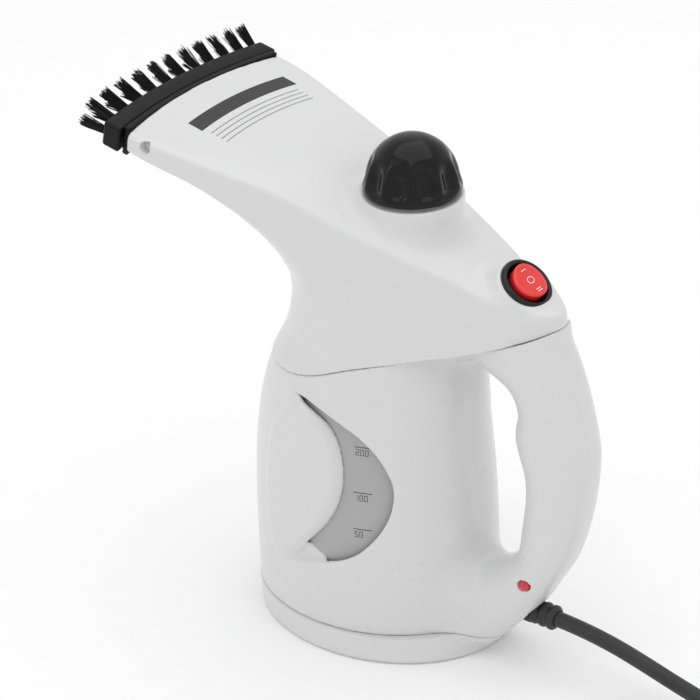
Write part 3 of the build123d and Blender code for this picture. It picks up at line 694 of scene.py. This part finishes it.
def make_material(name, color, rough, specular=0.5, coat=0.0, metal=0.0,
                  mottle=0.02, bump=0.02, grain=900.0, wear=0.0):
    """mottle: colour spread; bump, grain: strength and scale of relief; wear: gloss spread."""
    material = bpy.data.materials.new(name)
    material.use_nodes = True
    tree = material.node_tree
    tree.nodes.clear()
    output = tree.nodes.new("ShaderNodeOutputMaterial")
    shader = tree.nodes.new("ShaderNodeBsdfPrincipled")
    tree.links.new(shader.outputs[0], output.inputs[0])
    coords = tree.nodes.new("ShaderNodeTexCoord")

    def noise(scale, detail):
        node = tree.nodes.new("ShaderNodeTexNoise")
        node.inputs["Scale"].default_value = scale
        node.inputs["Detail"].default_value = detail
        tree.links.new(coords.outputs["Object"], node.inputs["Vector"])
        return node.outputs["Fac"]

    color_noise = noise(scale=MOTTLE_SCALE, detail=4.0)
    ramp = tree.nodes.new("ShaderNodeValToRGB")
    dark, light = ramp.color_ramp.elements
    dark.position = 0.3
    dark.color = (*[max(0.0, c * (1 - mottle)) for c in color], 1)
    light.position = 0.7
    light.color = (*[min(1.0, c * (1 + mottle)) for c in color], 1)
    tree.links.new(color_noise, ramp.inputs["Fac"])
    tree.links.new(ramp.outputs["Color"], shader.inputs["Base Color"])

    rough_noise = noise(scale=MOTTLE_SCALE * 2.7, detail=6.0)
    spread = tree.nodes.new("ShaderNodeMapRange")
    spread.inputs["From Min"].default_value = 0.3
    spread.inputs["From Max"].default_value = 0.7
    spread.inputs["To Min"].default_value = max(0.02, rough * (0.86 - wear))
    spread.inputs["To Max"].default_value = min(1.0, rough * (1.14 + wear))
    tree.links.new(rough_noise, spread.inputs["Value"])
    tree.links.new(spread.outputs[0], shader.inputs["Roughness"])

    grain_noise = noise(scale=grain, detail=3.0)
    relief = tree.nodes.new("ShaderNodeBump")
    relief.inputs["Strength"].default_value = bump
    relief.inputs["Distance"].default_value = BUMP_DISTANCE
    tree.links.new(grain_noise, relief.inputs["Height"])
    tree.links.new(relief.outputs[0], shader.inputs["Normal"])

    shader.inputs["Metallic"].default_value = metal
    shader.inputs["Specular IOR Level"].default_value = specular
    shader.inputs["Coat Weight"].default_value = coat
    shader.inputs["Coat Roughness"].default_value = 0.08
    return material


FINISHES = {
    "white_plastic": dict(color=(0.68, 0.68, 0.685), rough=0.30, specular=0.4, coat=0.25,
                          mottle=0.008, bump=0.012, grain=420),
    "window_grey": dict(color=(0.40, 0.40, 0.405), rough=0.38, specular=0.35, coat=0.10),
    "black_trim": dict(color=(0.006, 0.006, 0.0065), rough=0.36, specular=0.16,
                       mottle=0.15, bump=0.06, grain=2200),
    "cap_black": dict(color=(0.004, 0.004, 0.0042), rough=0.11, specular=0.24, coat=0.04,
                      mottle=0.1, bump=0.01),
    "bezel_black": dict(color=(0.012, 0.0122, 0.0125), rough=0.33, specular=0.3,
                        mottle=0.1, bump=0.03),
    "rocker_red": dict(color=(0.78, 0.022, 0.018), rough=0.26, coat=0.4, mottle=0.04, bump=0.015),
    "mark_white": dict(color=(0.86, 0.80, 0.80), rough=0.5, bump=0.01),
    "lens_red": dict(color=(0.60, 0.020, 0.06), rough=0.2, coat=0.3, mottle=0.06, bump=0.01),
    "bristle_black": dict(color=(0.008, 0.008, 0.008), rough=0.5, specular=0.2, mottle=0.2),
    "cord_rubber": dict(color=(0.030, 0.030, 0.031), rough=0.42, specular=0.35,
                        mottle=0.12, bump=0.05, grain=1500),
    "mark_ink": dict(color=(0.05, 0.05, 0.055), rough=0.6, mottle=0.05, bump=0.01),
    "label_black": dict(color=(0.02, 0.02, 0.022), rough=0.45, mottle=0.1),
    "label_rule": dict(color=(0.22, 0.22, 0.225), rough=0.5, specular=0.3,
                       mottle=0.05, bump=0.01),
    "silicone": dict(color=(0.70, 0.68, 0.64), rough=0.55, mottle=0.04, bump=0.04),
    "alu_cast": dict(color=(0.60, 0.60, 0.61), rough=0.42, metal=1.0,
                     mottle=0.06, bump=0.12, grain=700, wear=0.1),
    "steel_zinc": dict(color=(0.58, 0.58, 0.59), rough=0.30, metal=1.0,
                       mottle=0.05, bump=0.05, wear=0.1),
    "inner_plastic": dict(color=(0.72, 0.71, 0.67), rough=0.5, mottle=0.03, bump=0.04),
    "thermo_plastic": dict(color=(0.03, 0.025, 0.02), rough=0.5, mottle=0.1, bump=0.08),
    "brass_tab": dict(color=(0.70, 0.50, 0.20), rough=0.30, metal=1.0,
                      mottle=0.08, bump=0.05, wear=0.1),
}
MATERIALS = {name: make_material(name, **finish) for name, finish in FINISHES.items()}


def paint(ob, material):
    ob.data.materials.clear()
    ob.data.materials.append(MATERIALS[material])


def dress(ob, material, rides="handpiece", replaces=()):
    paint(ob, material)
    if replaces:
        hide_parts(*replaces)
    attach(ob, rides)


# ------------------------------------------------------------------ shells

SHELL_CELL = 0.8
TANK_CELL = 1.1

dress(field_object("head_shell_look", head, low=(-104, -57, 122), high=(104, 57, 238),
                   cell=SHELL_CELL),
      "white_plastic", replaces=["head_shell"])
dress(field_object("body_shell_look", body, low=(-62, -51, 8), high=(120, 51, 178),
                   cell=SHELL_CELL),
      "white_plastic", replaces=["body_shell_left", "body_shell_right"])
dress(field_object("base_cover_look", foot, low=(-64, -53, -3), high=(76, 53, 16),
                   cell=SHELL_CELL),
      "white_plastic", replaces=["base_cover"])
dress(field_object("water_tank_look", tank, low=(-60, -48, 28), high=(62, 48, 126),
                   cell=TANK_CELL),
      "window_grey", replaces=["water_tank"])

# ------------------------------------------------------------------ filler cap

# radius, z from the rim up to the crown, then down the inside
CAP_OUTER = [
    (20.2, 211.32), (20.9, 211.4), (21.3, 211.9), (21.15, 214.5), (20.5, 218), (19.95, 220),
    (19.3, 222), (18.5, 224), (17.5, 225.8), (16.4, 227.6), (15, 229.3), (13.6, 230.9),
    (12, 232.2), (10.1, 233.5), (8, 234.6), (6, 235.3), (4, 235.7), (2, 235.93), (0, 236.0),
]
CAP_INNER = [
    (0, 233.0), (6, 231.9), (10.4, 228.6), (13.2, 224.5), (14.8, 220), (15.6, 216.5),
    (15.9, 213.9), (18.8, 213.62), (18.8, 211.32),
]
SCALLOPS = 10
SCALLOP_DEPTH = 2.5


def scallop_cut(angle, z):
    """Grip scallops, starting above the rim and fading out toward the crown."""
    fade = smooth_step(z, 213.7, 216.7) * (1 - smooth_step(z, 221.0, 230.0))
    return SCALLOP_DEPTH * (0.5 + 0.5 * math.cos(SCALLOPS * angle)) ** 0.8 * float(fade)


def make_cap():
    count = 240
    bm = bmesh.new()
    rings = [turned_ring(bm, r, z, count, scallop_cut) for r, z in resample(CAP_OUTER, 64)]
    rings += [turned_ring(bm, r, z, count) for r, z in CAP_INNER]
    loft(bm, rings, closed=True)
    return bm_object("cap_dome_look", bm, matrix=Matrix.Translation((CAP_X * MM, 0, 0)))


dress(make_cap(), "cap_black", rides="cap", replaces=["cap_dome"])

# ------------------------------------------------------------------ switch

SWITCH_MATRIX = Matrix((
    (SWITCH_DOWN[0], 0, SWITCH_OUT[0], SWITCH[0] * MM),
    (0, 1, 0, 0),
    (SWITCH_DOWN[2], 0, SWITCH_OUT[2], SWITCH[2] * MM),
    (0, 0, 0, 1)))
# radius, height above the deck slope
BEZEL_PROFILE = [
    (9.45, -1.0), (9.45, 1.4), (9.9, 2.1), (10.6, 2.35), (11.2, 2.25), (11.75, 1.8),
    (12.0, 1.1), (12.05, 0.05), (10.15, 0.0), (9.95, -0.3), (9.95, -18), (0, -18),
    (0, -16.5), (9.4, -16.5),
]
ROCKER_RADIUS = 8.1
ROCKER_BOTTOM = -6.0
# share of the radius, height; the rim above the slope also rises at both ends
ROCKER_SIDE = [(1.0, ROCKER_BOTTOM), (1.0, 2.8), (0.995, 3.4)]
# share of the radius, offset from the saddle
ROCKER_TOP = [(0.975, -0.42), (0.945, -0.16), (0.90, -0.03), (0.8, 0.0), (0.65, 0), (0.5, 0),
              (0.35, 0), (0.18, 0)]
SADDLE_RISE = 0.9


def saddle(x, y):
    """Top of the rocker, raised along the slope and lowered across it."""
    reach = 8.2
    return 4.2 + SADDLE_RISE * (x / reach) ** 2 - 0.35 * (y / reach) ** 2


def make_rocker():
    angles = [TAU * i / 128 for i in range(128)]
    bm = bmesh.new()

    def ring(share, height):
        radius = ROCKER_RADIUS * share
        spots = [(radius * math.cos(a), radius * math.sin(a)) for a in angles]
        return [vertex(bm, (x, y, height(x, y, a))) for (x, y), a in zip(spots, angles)]

    rings = []
    for share, z in ROCKER_SIDE:
        rise = SADDLE_RISE if z > 0 else 0
        rings.append(ring(share, lambda x, y, a: z + rise * math.cos(a) ** 2))
    for share, offset in ROCKER_TOP:
        rings.append(ring(share, lambda x, y, a: saddle(x, y) + offset))
    rings.append([vertex(bm, (0, 0, saddle(0, 0)))])
    rings.append([vertex(bm, (0, 0, ROCKER_BOTTOM))])
    loft(bm, rings, closed=True)
    return bm_object("rocker_look", bm, matrix=SWITCH_MATRIX)


def rocker_mark(bm, centre_x, centre_y, long_x, long_y, spans, angle=0.0):
    """Thin raised bar on the saddle."""
    thick = 0.10
    c, s = math.cos(angle), math.sin(angle)
    rows = []
    for i in range(spans + 1):
        row = []
        for side in (-0.5, 0.5):
            u, v = -long_x / 2 + long_x * i / spans, side * long_y
            x, y = centre_x + c * u - s * v, centre_y + s * u + c * v
            z = saddle(x, y)
            row.append(((x, y, z + thick * 0.5), (x, y, z - thick)))
        rows.append(row)
    thin_strip(bm, rows)


def make_rocker_marks():
    bm = bmesh.new()
    # I at the -X end, II at the +X end
    for x in (-5.0, 4.7, 5.8):
        rocker_mark(bm, x, 0.0, long_x=0.34, long_y=3.0, spans=2)
    # O in the middle
    ring_x, ring_y = 1.45, 1.9
    for i in range(24):
        a = TAU * (i + 0.5) / 24
        rocker_mark(bm, ring_x * math.cos(a), ring_y * math.sin(a), long_x=0.5, long_y=0.32,
                    spans=1, angle=math.atan2(ring_y * math.cos(a), -ring_x * math.sin(a)))
    return bm_object("rocker_marks_look", bm, "none", SWITCH_MATRIX)


dress(turned_object("switch_bezel_look", BEZEL_PROFILE, 128, SWITCH_MATRIX),
      "bezel_black", replaces=["switch_housing"])
dress(make_rocker(), "rocker_red", rides="rocker", replaces=["rocker_button"])
dress(make_rocker_marks(), "mark_white", rides="rocker")

# ------------------------------------------------------------------ mouth frame and brush

FRAME_TOP, FRAME_BOTTOM = 0.6, 13.9    # depth below the mouth's top edge
SLOT_DEPTH = (FRAME_TOP + FRAME_BOTTOM) / 2
SLOT_PITCH = 8.0
PEG_SLOT = 3                           # the pegs take the place of these slots
BAR_FRONT = 12.6


def mouth_point(y, depth, forward):
    """Point given across the mouth, down from its top edge and out from its bowed face."""
    radius = MOUTH_ARC + forward
    sag = math.sqrt(radius * radius - y * y) - MOUTH_ARC
    return MOUTH + MOUTH_OUT * sag + np.array([0, y, 0]) - MOUTH_UP * depth


def bowed_bar(name, back, front, half_width, top, bottom, edge):
    """Rounded-rectangle section swept across Y along the bow of the mouth."""
    mid_out, mid_depth = (back + front) / 2, (top + bottom) / 2
    half_out, half_depth = (front - back) / 2, (bottom - top) / 2
    section = []
    for q, (sign_out, sign_depth) in enumerate(((1, 1), (-1, 1), (-1, -1), (1, -1))):
        for k in range(5):
            a = math.radians(90 * q + 22.5 * k)
            section.append((sign_out * (half_out - edge) + edge * math.cos(a),
                            sign_depth * (half_depth - edge) + edge * math.sin(a)))
    # y of each section, and how far its rounded end has opened
    ends = [(-half_width + edge * (1 - math.cos(math.radians(q))), math.sin(math.radians(q)))
            for q in (0, 30, 60)]
    stations = ends + [(y, 1.0) for y in np.linspace(-half_width + edge, half_width - edge, 72)]
    stations += [(-y, opened) for y, opened in ends[::-1]]
    bm = bmesh.new()
    rings = []
    for y, opened in stations:
        scale_out = (half_out - edge * (1 - opened)) / half_out
        scale_depth = (half_depth - edge * (1 - opened)) / half_depth
        rings.append([vertex(bm, mouth_point(y, mid_depth + down * scale_depth,
                                             mid_out + out * scale_out))
                      for out, down in section])
    capped_loft(bm, rings)
    return bm_object(name, bm, "quads")


def cutter_matrix(y, forward):
    """Axes up the mouth, across it and out of it, scaled to metres."""
    x0, y0, z0 = mouth_point(y, SLOT_DEPTH, forward)
    return Matrix.Scale(MM, 4) @ Matrix((
        (0, MOUTH_UP[0], MOUTH_OUT[0], x0), (-1, 0, 0, y0),
        (0, MOUTH_UP[2], MOUTH_OUT[2], z0), (0, 0, 0, 1)))


def cut_slots(bar, peg_holes):
    """Cut the steam slots through a bar, and the two peg holes when asked."""
    bm = bmesh.new()
    for k in range(-5, 6):
        if abs(k) != PEG_SLOT:
            matrix = cutter_matrix(k * SLOT_PITCH, 4.0) @ Matrix.Diagonal((4.6, 2.6, 30, 1))
            bmesh.ops.create_cube(bm, size=1.0, matrix=matrix)
    if peg_holes:
        for side in (-1, 1):
            bmesh.ops.create_cone(bm, cap_ends=True, segments=40, radius1=2.1, radius2=2.1,
                                  depth=18.0,
                                  matrix=cutter_matrix(side * PEG_SLOT * SLOT_PITCH, 0.0))
    mesh = bpy.data.meshes.new("bar_cutter")
    bm.to_mesh(mesh)
    bm.free()
    cutter = link_object("bar_cutter", mesh)
    modifier = bar.modifiers.new("slots", "BOOLEAN")
    modifier.operation = "DIFFERENCE"
    modifier.solver = "EXACT"
    modifier.object = cutter
    bpy.context.view_layer.update()
    evaluated = bar.evaluated_get(bpy.context.evaluated_depsgraph_get())
    cut_mesh = bpy.data.meshes.new_from_object(evaluated)
    bar.modifiers.clear()
    bar.data = cut_mesh
    bpy.data.objects.remove(cutter)
    return bar


def make_peg(name, side):
    start = mouth_point(side * PEG_SLOT * SLOT_PITCH, SLOT_DEPTH, -4.2)
    path = [start + MOUTH_OUT * d for d in (0, 0.01, 0.5, 3.0, 6.0, 8.4)]
    return tube_object(name, path, [1.5, 1.5, 1.95, 1.95, 1.95, 1.95], 32)


outlet = bowed_bar("steam_outlet_look", back=0.12, front=3.0, half_width=50.4,
                   top=FRAME_TOP, bottom=FRAME_BOTTOM, edge=0.6)
dress(cut_slots(outlet, peg_holes=True), "black_trim", replaces=["steam_outlet"])
brush_bar = bowed_bar("brush_bar_look", back=3.6, front=BAR_FRONT, half_width=53.2,
                      top=1.2, bottom=12.8, edge=1.1)
dress(cut_slots(brush_bar, peg_holes=False), "black_trim", rides="brush",
      replaces=["brush_bar"])
for side, name in ((-1, "brush_peg_left_look"), (1, "brush_peg_right_look")):
    dress(make_peg(name, side), "black_trim", rides="brush")

# y at the base and at the tip of each tuft
UPPER_TUFTS = [
    (-44.7, -47.0), (-34.5, -36.0), (-23.8, -24.5), (-13.5, -13.5), (-3.3, -2.5), (6.4, 8.0),
    (15.7, 18.0), (24.6, 27.5), (33.4, 37.0), (41.8, 46.0), (49.4, 54.0),
]
LOWER_TUFTS = [
    (-48.6, -51.0), (-39.5, -40.5), (-29.2, -30.0), (-18.6, -19.0), (-8.4, -8.0), (1.6, 2.8),
    (11.1, 13.0), (20.2, 22.8), (29.0, 32.2), (37.7, 41.6), (46.0, 50.4),
]
# tufts, depth below the mouth's top edge at the base and at the tip
TUFT_ROWS = [(UPPER_TUFTS, 3.6, 0.8), (LOWER_TUFTS, 8.6, 8.0)]
TUFT_BASE = BAR_FRONT - 0.2
TUFT_LENGTH = 13.4
TUFT_RADIUS = 1.45
TUFT_SPREAD = 1.75
BRISTLES = 64
BRISTLE_RADII = (0.2, 0.2, 0.19, 0.15)
rng = np.random.default_rng(7)


def add_bristle(bm, base, axis, side, up, tuft_length):
    a = rng.uniform(0, TAU)
    share = math.sqrt(rng.uniform(0, 1))
    root = (side * math.cos(a) + up * math.sin(a)) * share * TUFT_RADIUS
    tip = root * TUFT_SPREAD + side * rng.normal(0, 0.22) + up * rng.normal(0, 0.22)
    reach = axis * (tuft_length * rng.uniform(0.86, 1.03))
    bend = side * rng.normal(0, 0.18) + up * rng.normal(0, 0.18)
    points = [base - axis * 0.5 + root,
              base + reach * 0.4 + root * 0.6 + tip * 0.4 + bend * 0.5,
              base + reach * 0.75 + root * 0.25 + tip * 0.75 + bend,
              base + reach + tip]
    capped_loft(bm, [round_ring(bm, point, radius, side, up, (0.4, 2.5, 4.6))
                     for point, radius in zip(points, BRISTLE_RADII)])


def make_tufts():
    """Bundles of three-sided bristles; the upper row leans up and both rows fan outward."""
    bm = bmesh.new()
    for tufts, base_depth, tip_depth in TUFT_ROWS:
        for base_y, tip_y in tufts:
            base = mouth_point(base_y, base_depth, TUFT_BASE)
            tip = mouth_point(tip_y + rng.normal(0, 0.3), tip_depth + rng.normal(0, 0.3),
                              TUFT_BASE + TUFT_LENGTH + rng.normal(0, 0.3))
            axis = tip - base
            tuft_length = np.linalg.norm(axis)
            axis /= tuft_length
            side = np.array([0, 1.0, 0]) - axis * axis[1]
            side /= np.linalg.norm(side)
            up = np.cross(axis, side)
            for _ in range(BRISTLES):
                add_bristle(bm, base, axis, side, up, tuft_length)
    return bm_object("brush_tufts_look", bm, "none")


dress(make_tufts(), "bristle_black", rides="brush", replaces=["brush_bristles"])

# ------------------------------------------------------------------ lamp lens

# radius, height above the body surface
LENS_PROFILE = [(0, 0.95), (1.0, 0.85), (1.9, 0.5), (2.45, 0.0), (2.6, -0.5), (2.6, -4.0),
                (0, -4.0)]


def make_lens():
    """Domed lens in the -Y side, facing mostly along the surface normal."""
    ys = np.linspace(-30, 0, 601)
    line = np.stack([np.full(601, LAMP_X), ys, np.full(601, LAMP_Z)], 1)
    surface_y = ys[np.argmax(sample(body_solid, line) < 0)]
    normal = gradient(body_solid, np.array([[LAMP_X, surface_y, LAMP_Z]]))[0]
    normal /= np.linalg.norm(normal)
    facing = Vector((0.25 * normal[0], normal[1], 0.25 * normal[2])).normalized()
    matrix = placed_along((LAMP_X, surface_y + 0.1, LAMP_Z), facing)
    return turned_object("indicator_lens_look", LENS_PROFILE, 48, matrix)


dress(make_lens(), "lens_red", replaces=["indicator_lens"])

# ------------------------------------------------------------------ cord and bushing

CORD_TILT = math.radians(-1)
CORD_OUT = np.array([math.cos(CORD_TILT), 0, math.sin(CORD_TILT)])
CORD_EXIT = np.array([CORD_X, 0, CORD_Z])
CORD_RADIUS = 3.5
# x, z where the cord droops toward the floor
CORD_DROOP = [
    (104, 24.1), (117.0, 23.0), (130.0, 20.9), (143.0, 17.8), (155.5, 14.5), (168.0, 11.5),
    (181.0, 8.6), (195.0, 5.8), (208.0, 4.1), (219.5, 3.7),
]
BUSHING_BORE = 3.56
# distance along the cord, radius
BUSHING_BACK = [(-8, BUSHING_BORE), (-8, 5.85), (1.2, 5.85), (1.6, 4.9)]
BUSHING_RIB = [(0, 4.9), (0.25, 5.35), (0.8, 5.6), (1.9, 5.6), (2.4, 5.35), (2.65, 4.9)]
BUSHING_TIP = [(13.2, 4.7), (13.6, 4.3), (13.6, BUSHING_BORE)]


def make_cord():
    controls = [CORD_EXIT + CORD_OUT * d for d in (-11, -4, 0, 14)]
    path = resample(controls + [(x, 0, z) for x, z in CORD_DROOP], 160)
    # moving average, with both ends carried on straight
    reach = 6
    kernel = np.ones(2 * reach + 1) / (2 * reach + 1)
    for i in range(3):
        line = path[:, i]
        before = line[0] - (line[reach] - line[0]) * np.arange(reach, 0, -1) / reach
        after = line[-1] + (line[-1] - line[-1 - reach]) * np.arange(1, reach + 1) / reach
        path[:, i] = np.convolve(np.concatenate([before, line, after]), kernel, mode="valid")
    return tube_object("power_cord_look", path, np.full(len(path), CORD_RADIUS), 36)


def make_bushing():
    """Sleeve with three ribs around the cord."""
    profile = list(BUSHING_BACK)
    for k in range(3):
        profile += [(1.8 + 4.2 * k + d, radius) for d, radius in BUSHING_RIB]
    profile += BUSHING_TIP
    return turned_object("cord_bushing_look", [(radius, d) for d, radius in profile], 64,
                         placed_along(CORD_EXIT, CORD_OUT))


dress(make_cord(), "cord_rubber", replaces=["power_cord"])
dress(make_bushing(), "cord_rubber", replaces=["cord_bushing"])

# ------------------------------------------------------------------ level marks on the tank

# z, figure, x where the line ends
LEVELS = [(101.4, "200", 24.4), (79.6, "100", 25.8), (61.8, "50", 25.8)]
LINE_START = 18.2
FIGURE_START = 18.8
MIRROR_SUM = 43.0            # figures on the +Y side take x = MIRROR_SUM - x
DIGIT_WIDTH, DIGIT_HALF_HEIGHT, DIGIT_GAP = 1.15, 1.3, 0.85
DIGITS = {"0": "abcdef", "1": "bc", "2": "abged", "5": "afgcd"}
# ends of each stroke, in digit widths and half heights
STROKES = {"a": ((0, 2), (1, 2)), "b": ((1, 1), (1, 2)), "c": ((1, 0), (1, 1)),
           "d": ((0, 0), (1, 0)), "e": ((0, 0), (0, 1)), "f": ((0, 1), (0, 2)),
           "g": ((0, 1), (1, 1))}


def tank_y(x, z):
    """y of the tank's outer surface on the -Y side, found by walking inward."""
    u = (x - float(oval_centre(z))) / float(oval_x(z))
    y = -float(oval_y(z)) * math.sqrt(1 - u ** 2)
    for _ in range(6):
        y += 0.9 * float(oval(x, y, z) + TANK_INSET)
    return y


def level_stroke(bm, start, end, width, side):
    """Thin raised line on the tank, with square ends half a width long."""
    thick = 0.12
    span = math.hypot(end[0] - start[0], end[1] - start[1])
    ux, uz = (end[0] - start[0]) / span, (end[1] - start[1]) / span
    x0, z0 = start[0] - ux * width / 2, start[1] - uz * width / 2
    span += width
    pieces = max(1, int(span / 1.5))
    rows = []
    for i in range(pieces + 1):
        row = []
        for j in (-0.5, 0.5):
            x = x0 + ux * span * i / pieces - uz * j * width
            z = z0 + uz * span * i / pieces + ux * j * width
            y = tank_y(x, z)
            row.append(((x, -side * (y - thick * 0.5), z), (x, -side * (y + thick), z)))
        rows.append(row)
    thin_strip(bm, rows)


def level_figure(bm, text, base_z, side):
    x = FIGURE_START
    for digit in text:
        for stroke in DIGITS[digit]:
            ends = [(x + a * DIGIT_WIDTH, base_z + b * DIGIT_HALF_HEIGHT)
                    for a, b in STROKES[stroke]]
            if side > 0:
                ends = [(MIRROR_SUM - end_x, end_z) for end_x, end_z in ends]
            level_stroke(bm, *ends, 0.26, side)
        x += DIGIT_WIDTH + DIGIT_GAP


def make_level_marks():
    bm = bmesh.new()
    for side in (-1, 1):
        for z, text, line_end in LEVELS:
            level_stroke(bm, (LINE_START, z + 1.2), (line_end, z + 1.2), 0.36, side)
            level_figure(bm, text, z - 2.6, side)
    return bm_object("level_marks_look", bm, "none")


dress(make_level_marks(), "mark_ink")

# ------------------------------------------------------------------ printed bands on the deck


def deck_top(x, y):
    """z of the head's upper surface, by bisection."""
    low, high = 190.0, 240.0
    for _ in range(30):
        middle = 0.5 * (low + high)
        if float(head_solid(x, y, middle)) > 0:
            high = middle
        else:
            low = middle
    return 0.5 * (low + high)


def deck_patch(bm, near, far, y_start, y_end, thick):
    """Thin patch between two arcs, at given distances behind the mouth."""
    spans = 28
    rows = []
    for i in range(spans + 1):
        y = y_start + (y_end - y_start) * i / spans
        row = []
        for distance in (near, far):
            x = mouth_point(y, 0, -distance)[0]
            z = deck_top(x, y)
            row.append(((x, y, z + thick * 0.4), (x, y, z - thick)))
        rows.append(row)
    thin_strip(bm, rows)


def make_deck_band():
    bm = bmesh.new()
    deck_patch(bm, near=16.0, far=23.9, y_start=-27.2, y_end=36.4, thick=0.09)
    return bm_object("deck_band_look", bm, "none")


def make_deck_rules():
    bm = bmesh.new()
    for near in (27.6, 30.4, 33.2, 36.0):
        deck_patch(bm, near, near + 0.5, y_start=-25.5, y_end=33.0, thick=0.05)
    return bm_object("deck_rules_look", bm, "none")


dress(make_deck_band(), "label_black")
dress(make_deck_rules(), "label_rule")

# ------------------------------------------------------------------ pieces that keep their mesh

KEPT_PIECES = {
    "steel_zinc": ("base_screws", "body_screws", "heater_retainer", "heater_screws",
                   "thermal_fuse", "hose_clips", "cap_screw"),
    "inner_plastic": ("filler_neck", "steam_dome", "steam_duct"),
    "silicone": ("neck_seal", "heater_gasket", "steam_hose", "cap_seal"),
    "alu_cast": ("heater_plate", "heater_element"),
    "thermo_plastic": ("thermostat",),
    "cap_black": ("cap_plug",),
    "brass_tab": ("switch_terminals",),
    "lens_red": ("indicator_lamp",),
    "black_trim": ("cord_clamp",),
}
kept_finish = {piece: finish for finish, pieces in KEPT_PIECES.items() for piece in pieces}
for ob in bpy.data.objects:
    if ob.type == "MESH" and ob.name in kept_finish:
        paint(ob, kept_finish[ob.name])

# ------------------------------------------------------------------ stage (metres)


def make_floor():
    half = 6
    mesh = bpy.data.meshes.new("floor")
    mesh.from_pydata([(-half, -half, 0), (half, -half, 0), (half, half, 0), (-half, half, 0)],
                     [], [(0, 1, 2, 3)])
    floor = link_object("floor", mesh)
    floor.location.z = -0.0002
    material = make_material("floor_white", color=(0.93, 0.93, 0.93), rough=0.6, specular=0.15,
                             mottle=0.004, bump=0.0)
    shader = material.node_tree.nodes["Principled BSDF"]
    shader.inputs["Emission Color"].default_value = (1, 1, 1, 1)
    shader.inputs["Emission Strength"].default_value = 0.05
    mesh.materials.append(material)


def make_world():
    """White surroundings, brighter to the camera than as a light."""
    world = bpy.data.worlds.new("studio")
    bpy.context.scene.world = world
    world.use_nodes = True
    tree = world.node_tree
    background = tree.nodes["Background"]
    background.inputs[0].default_value = (1.0, 1.0, 1.0, 1)
    light_path = tree.nodes.new("ShaderNodeLightPath")
    strength = tree.nodes.new("ShaderNodeMapRange")
    strength.inputs["To Min"].default_value = 0.80
    strength.inputs["To Max"].default_value = 1.0
    tree.links.new(light_path.outputs["Is Camera Ray"], strength.inputs["Value"])
    tree.links.new(strength.outputs[0], background.inputs[1])


def area_light(name, location, aim, width, height, power):
    light = bpy.data.lights.new(name, "AREA")
    light.shape = "RECTANGLE"
    light.size, light.size_y = width, height
    light.energy = power
    ob = link_object(name, light)
    ob.location = location
    direction = Vector(aim) - Vector(location)
    ob.rotation_euler = direction.to_track_quat("-Z", "Y").to_euler()


def make_camera():
    camera = bpy.data.cameras.new("cam")
    camera.lens = 164.3
    camera.sensor_width = 36.0
    camera.clip_start = 0.05
    camera.clip_end = 50
    ob = bpy.data.objects.new("cam", camera)
    turn = Matrix(((0.7923, -0.2648, 0.5496),
                   (0.6093, 0.3889, -0.6910),
                   (-0.0308, 0.8824, 0.4695)))
    ob.matrix_world = Matrix.Translation((0.7583, -0.9692, 0.7822)) @ turn.to_4x4()
    bpy.context.collection.objects.link(ob)
    bpy.context.scene.camera = ob


make_floor()
make_world()
area_light("key", location=(-0.5, -0.9, 1.1), aim=(0, 0, 0.12), width=0.7, height=0.7, power=0.4)
area_light("streak", location=(-0.55, -1.0, 0.75), aim=(0, 0, 0.2), width=0.06, height=0.7,
           power=0.7)
area_light("fill", location=(0.9, -0.5, 0.7), aim=(0, 0, 0.12), width=0.6, height=0.9, power=0.3)
area_light("top", location=(0.05, 0.15, 1.6), aim=(0, 0, 0.1), width=1.8, height=1.8, power=8.0)
make_camera()
bpy.context.scene.view_settings.view_transform = "Standard"
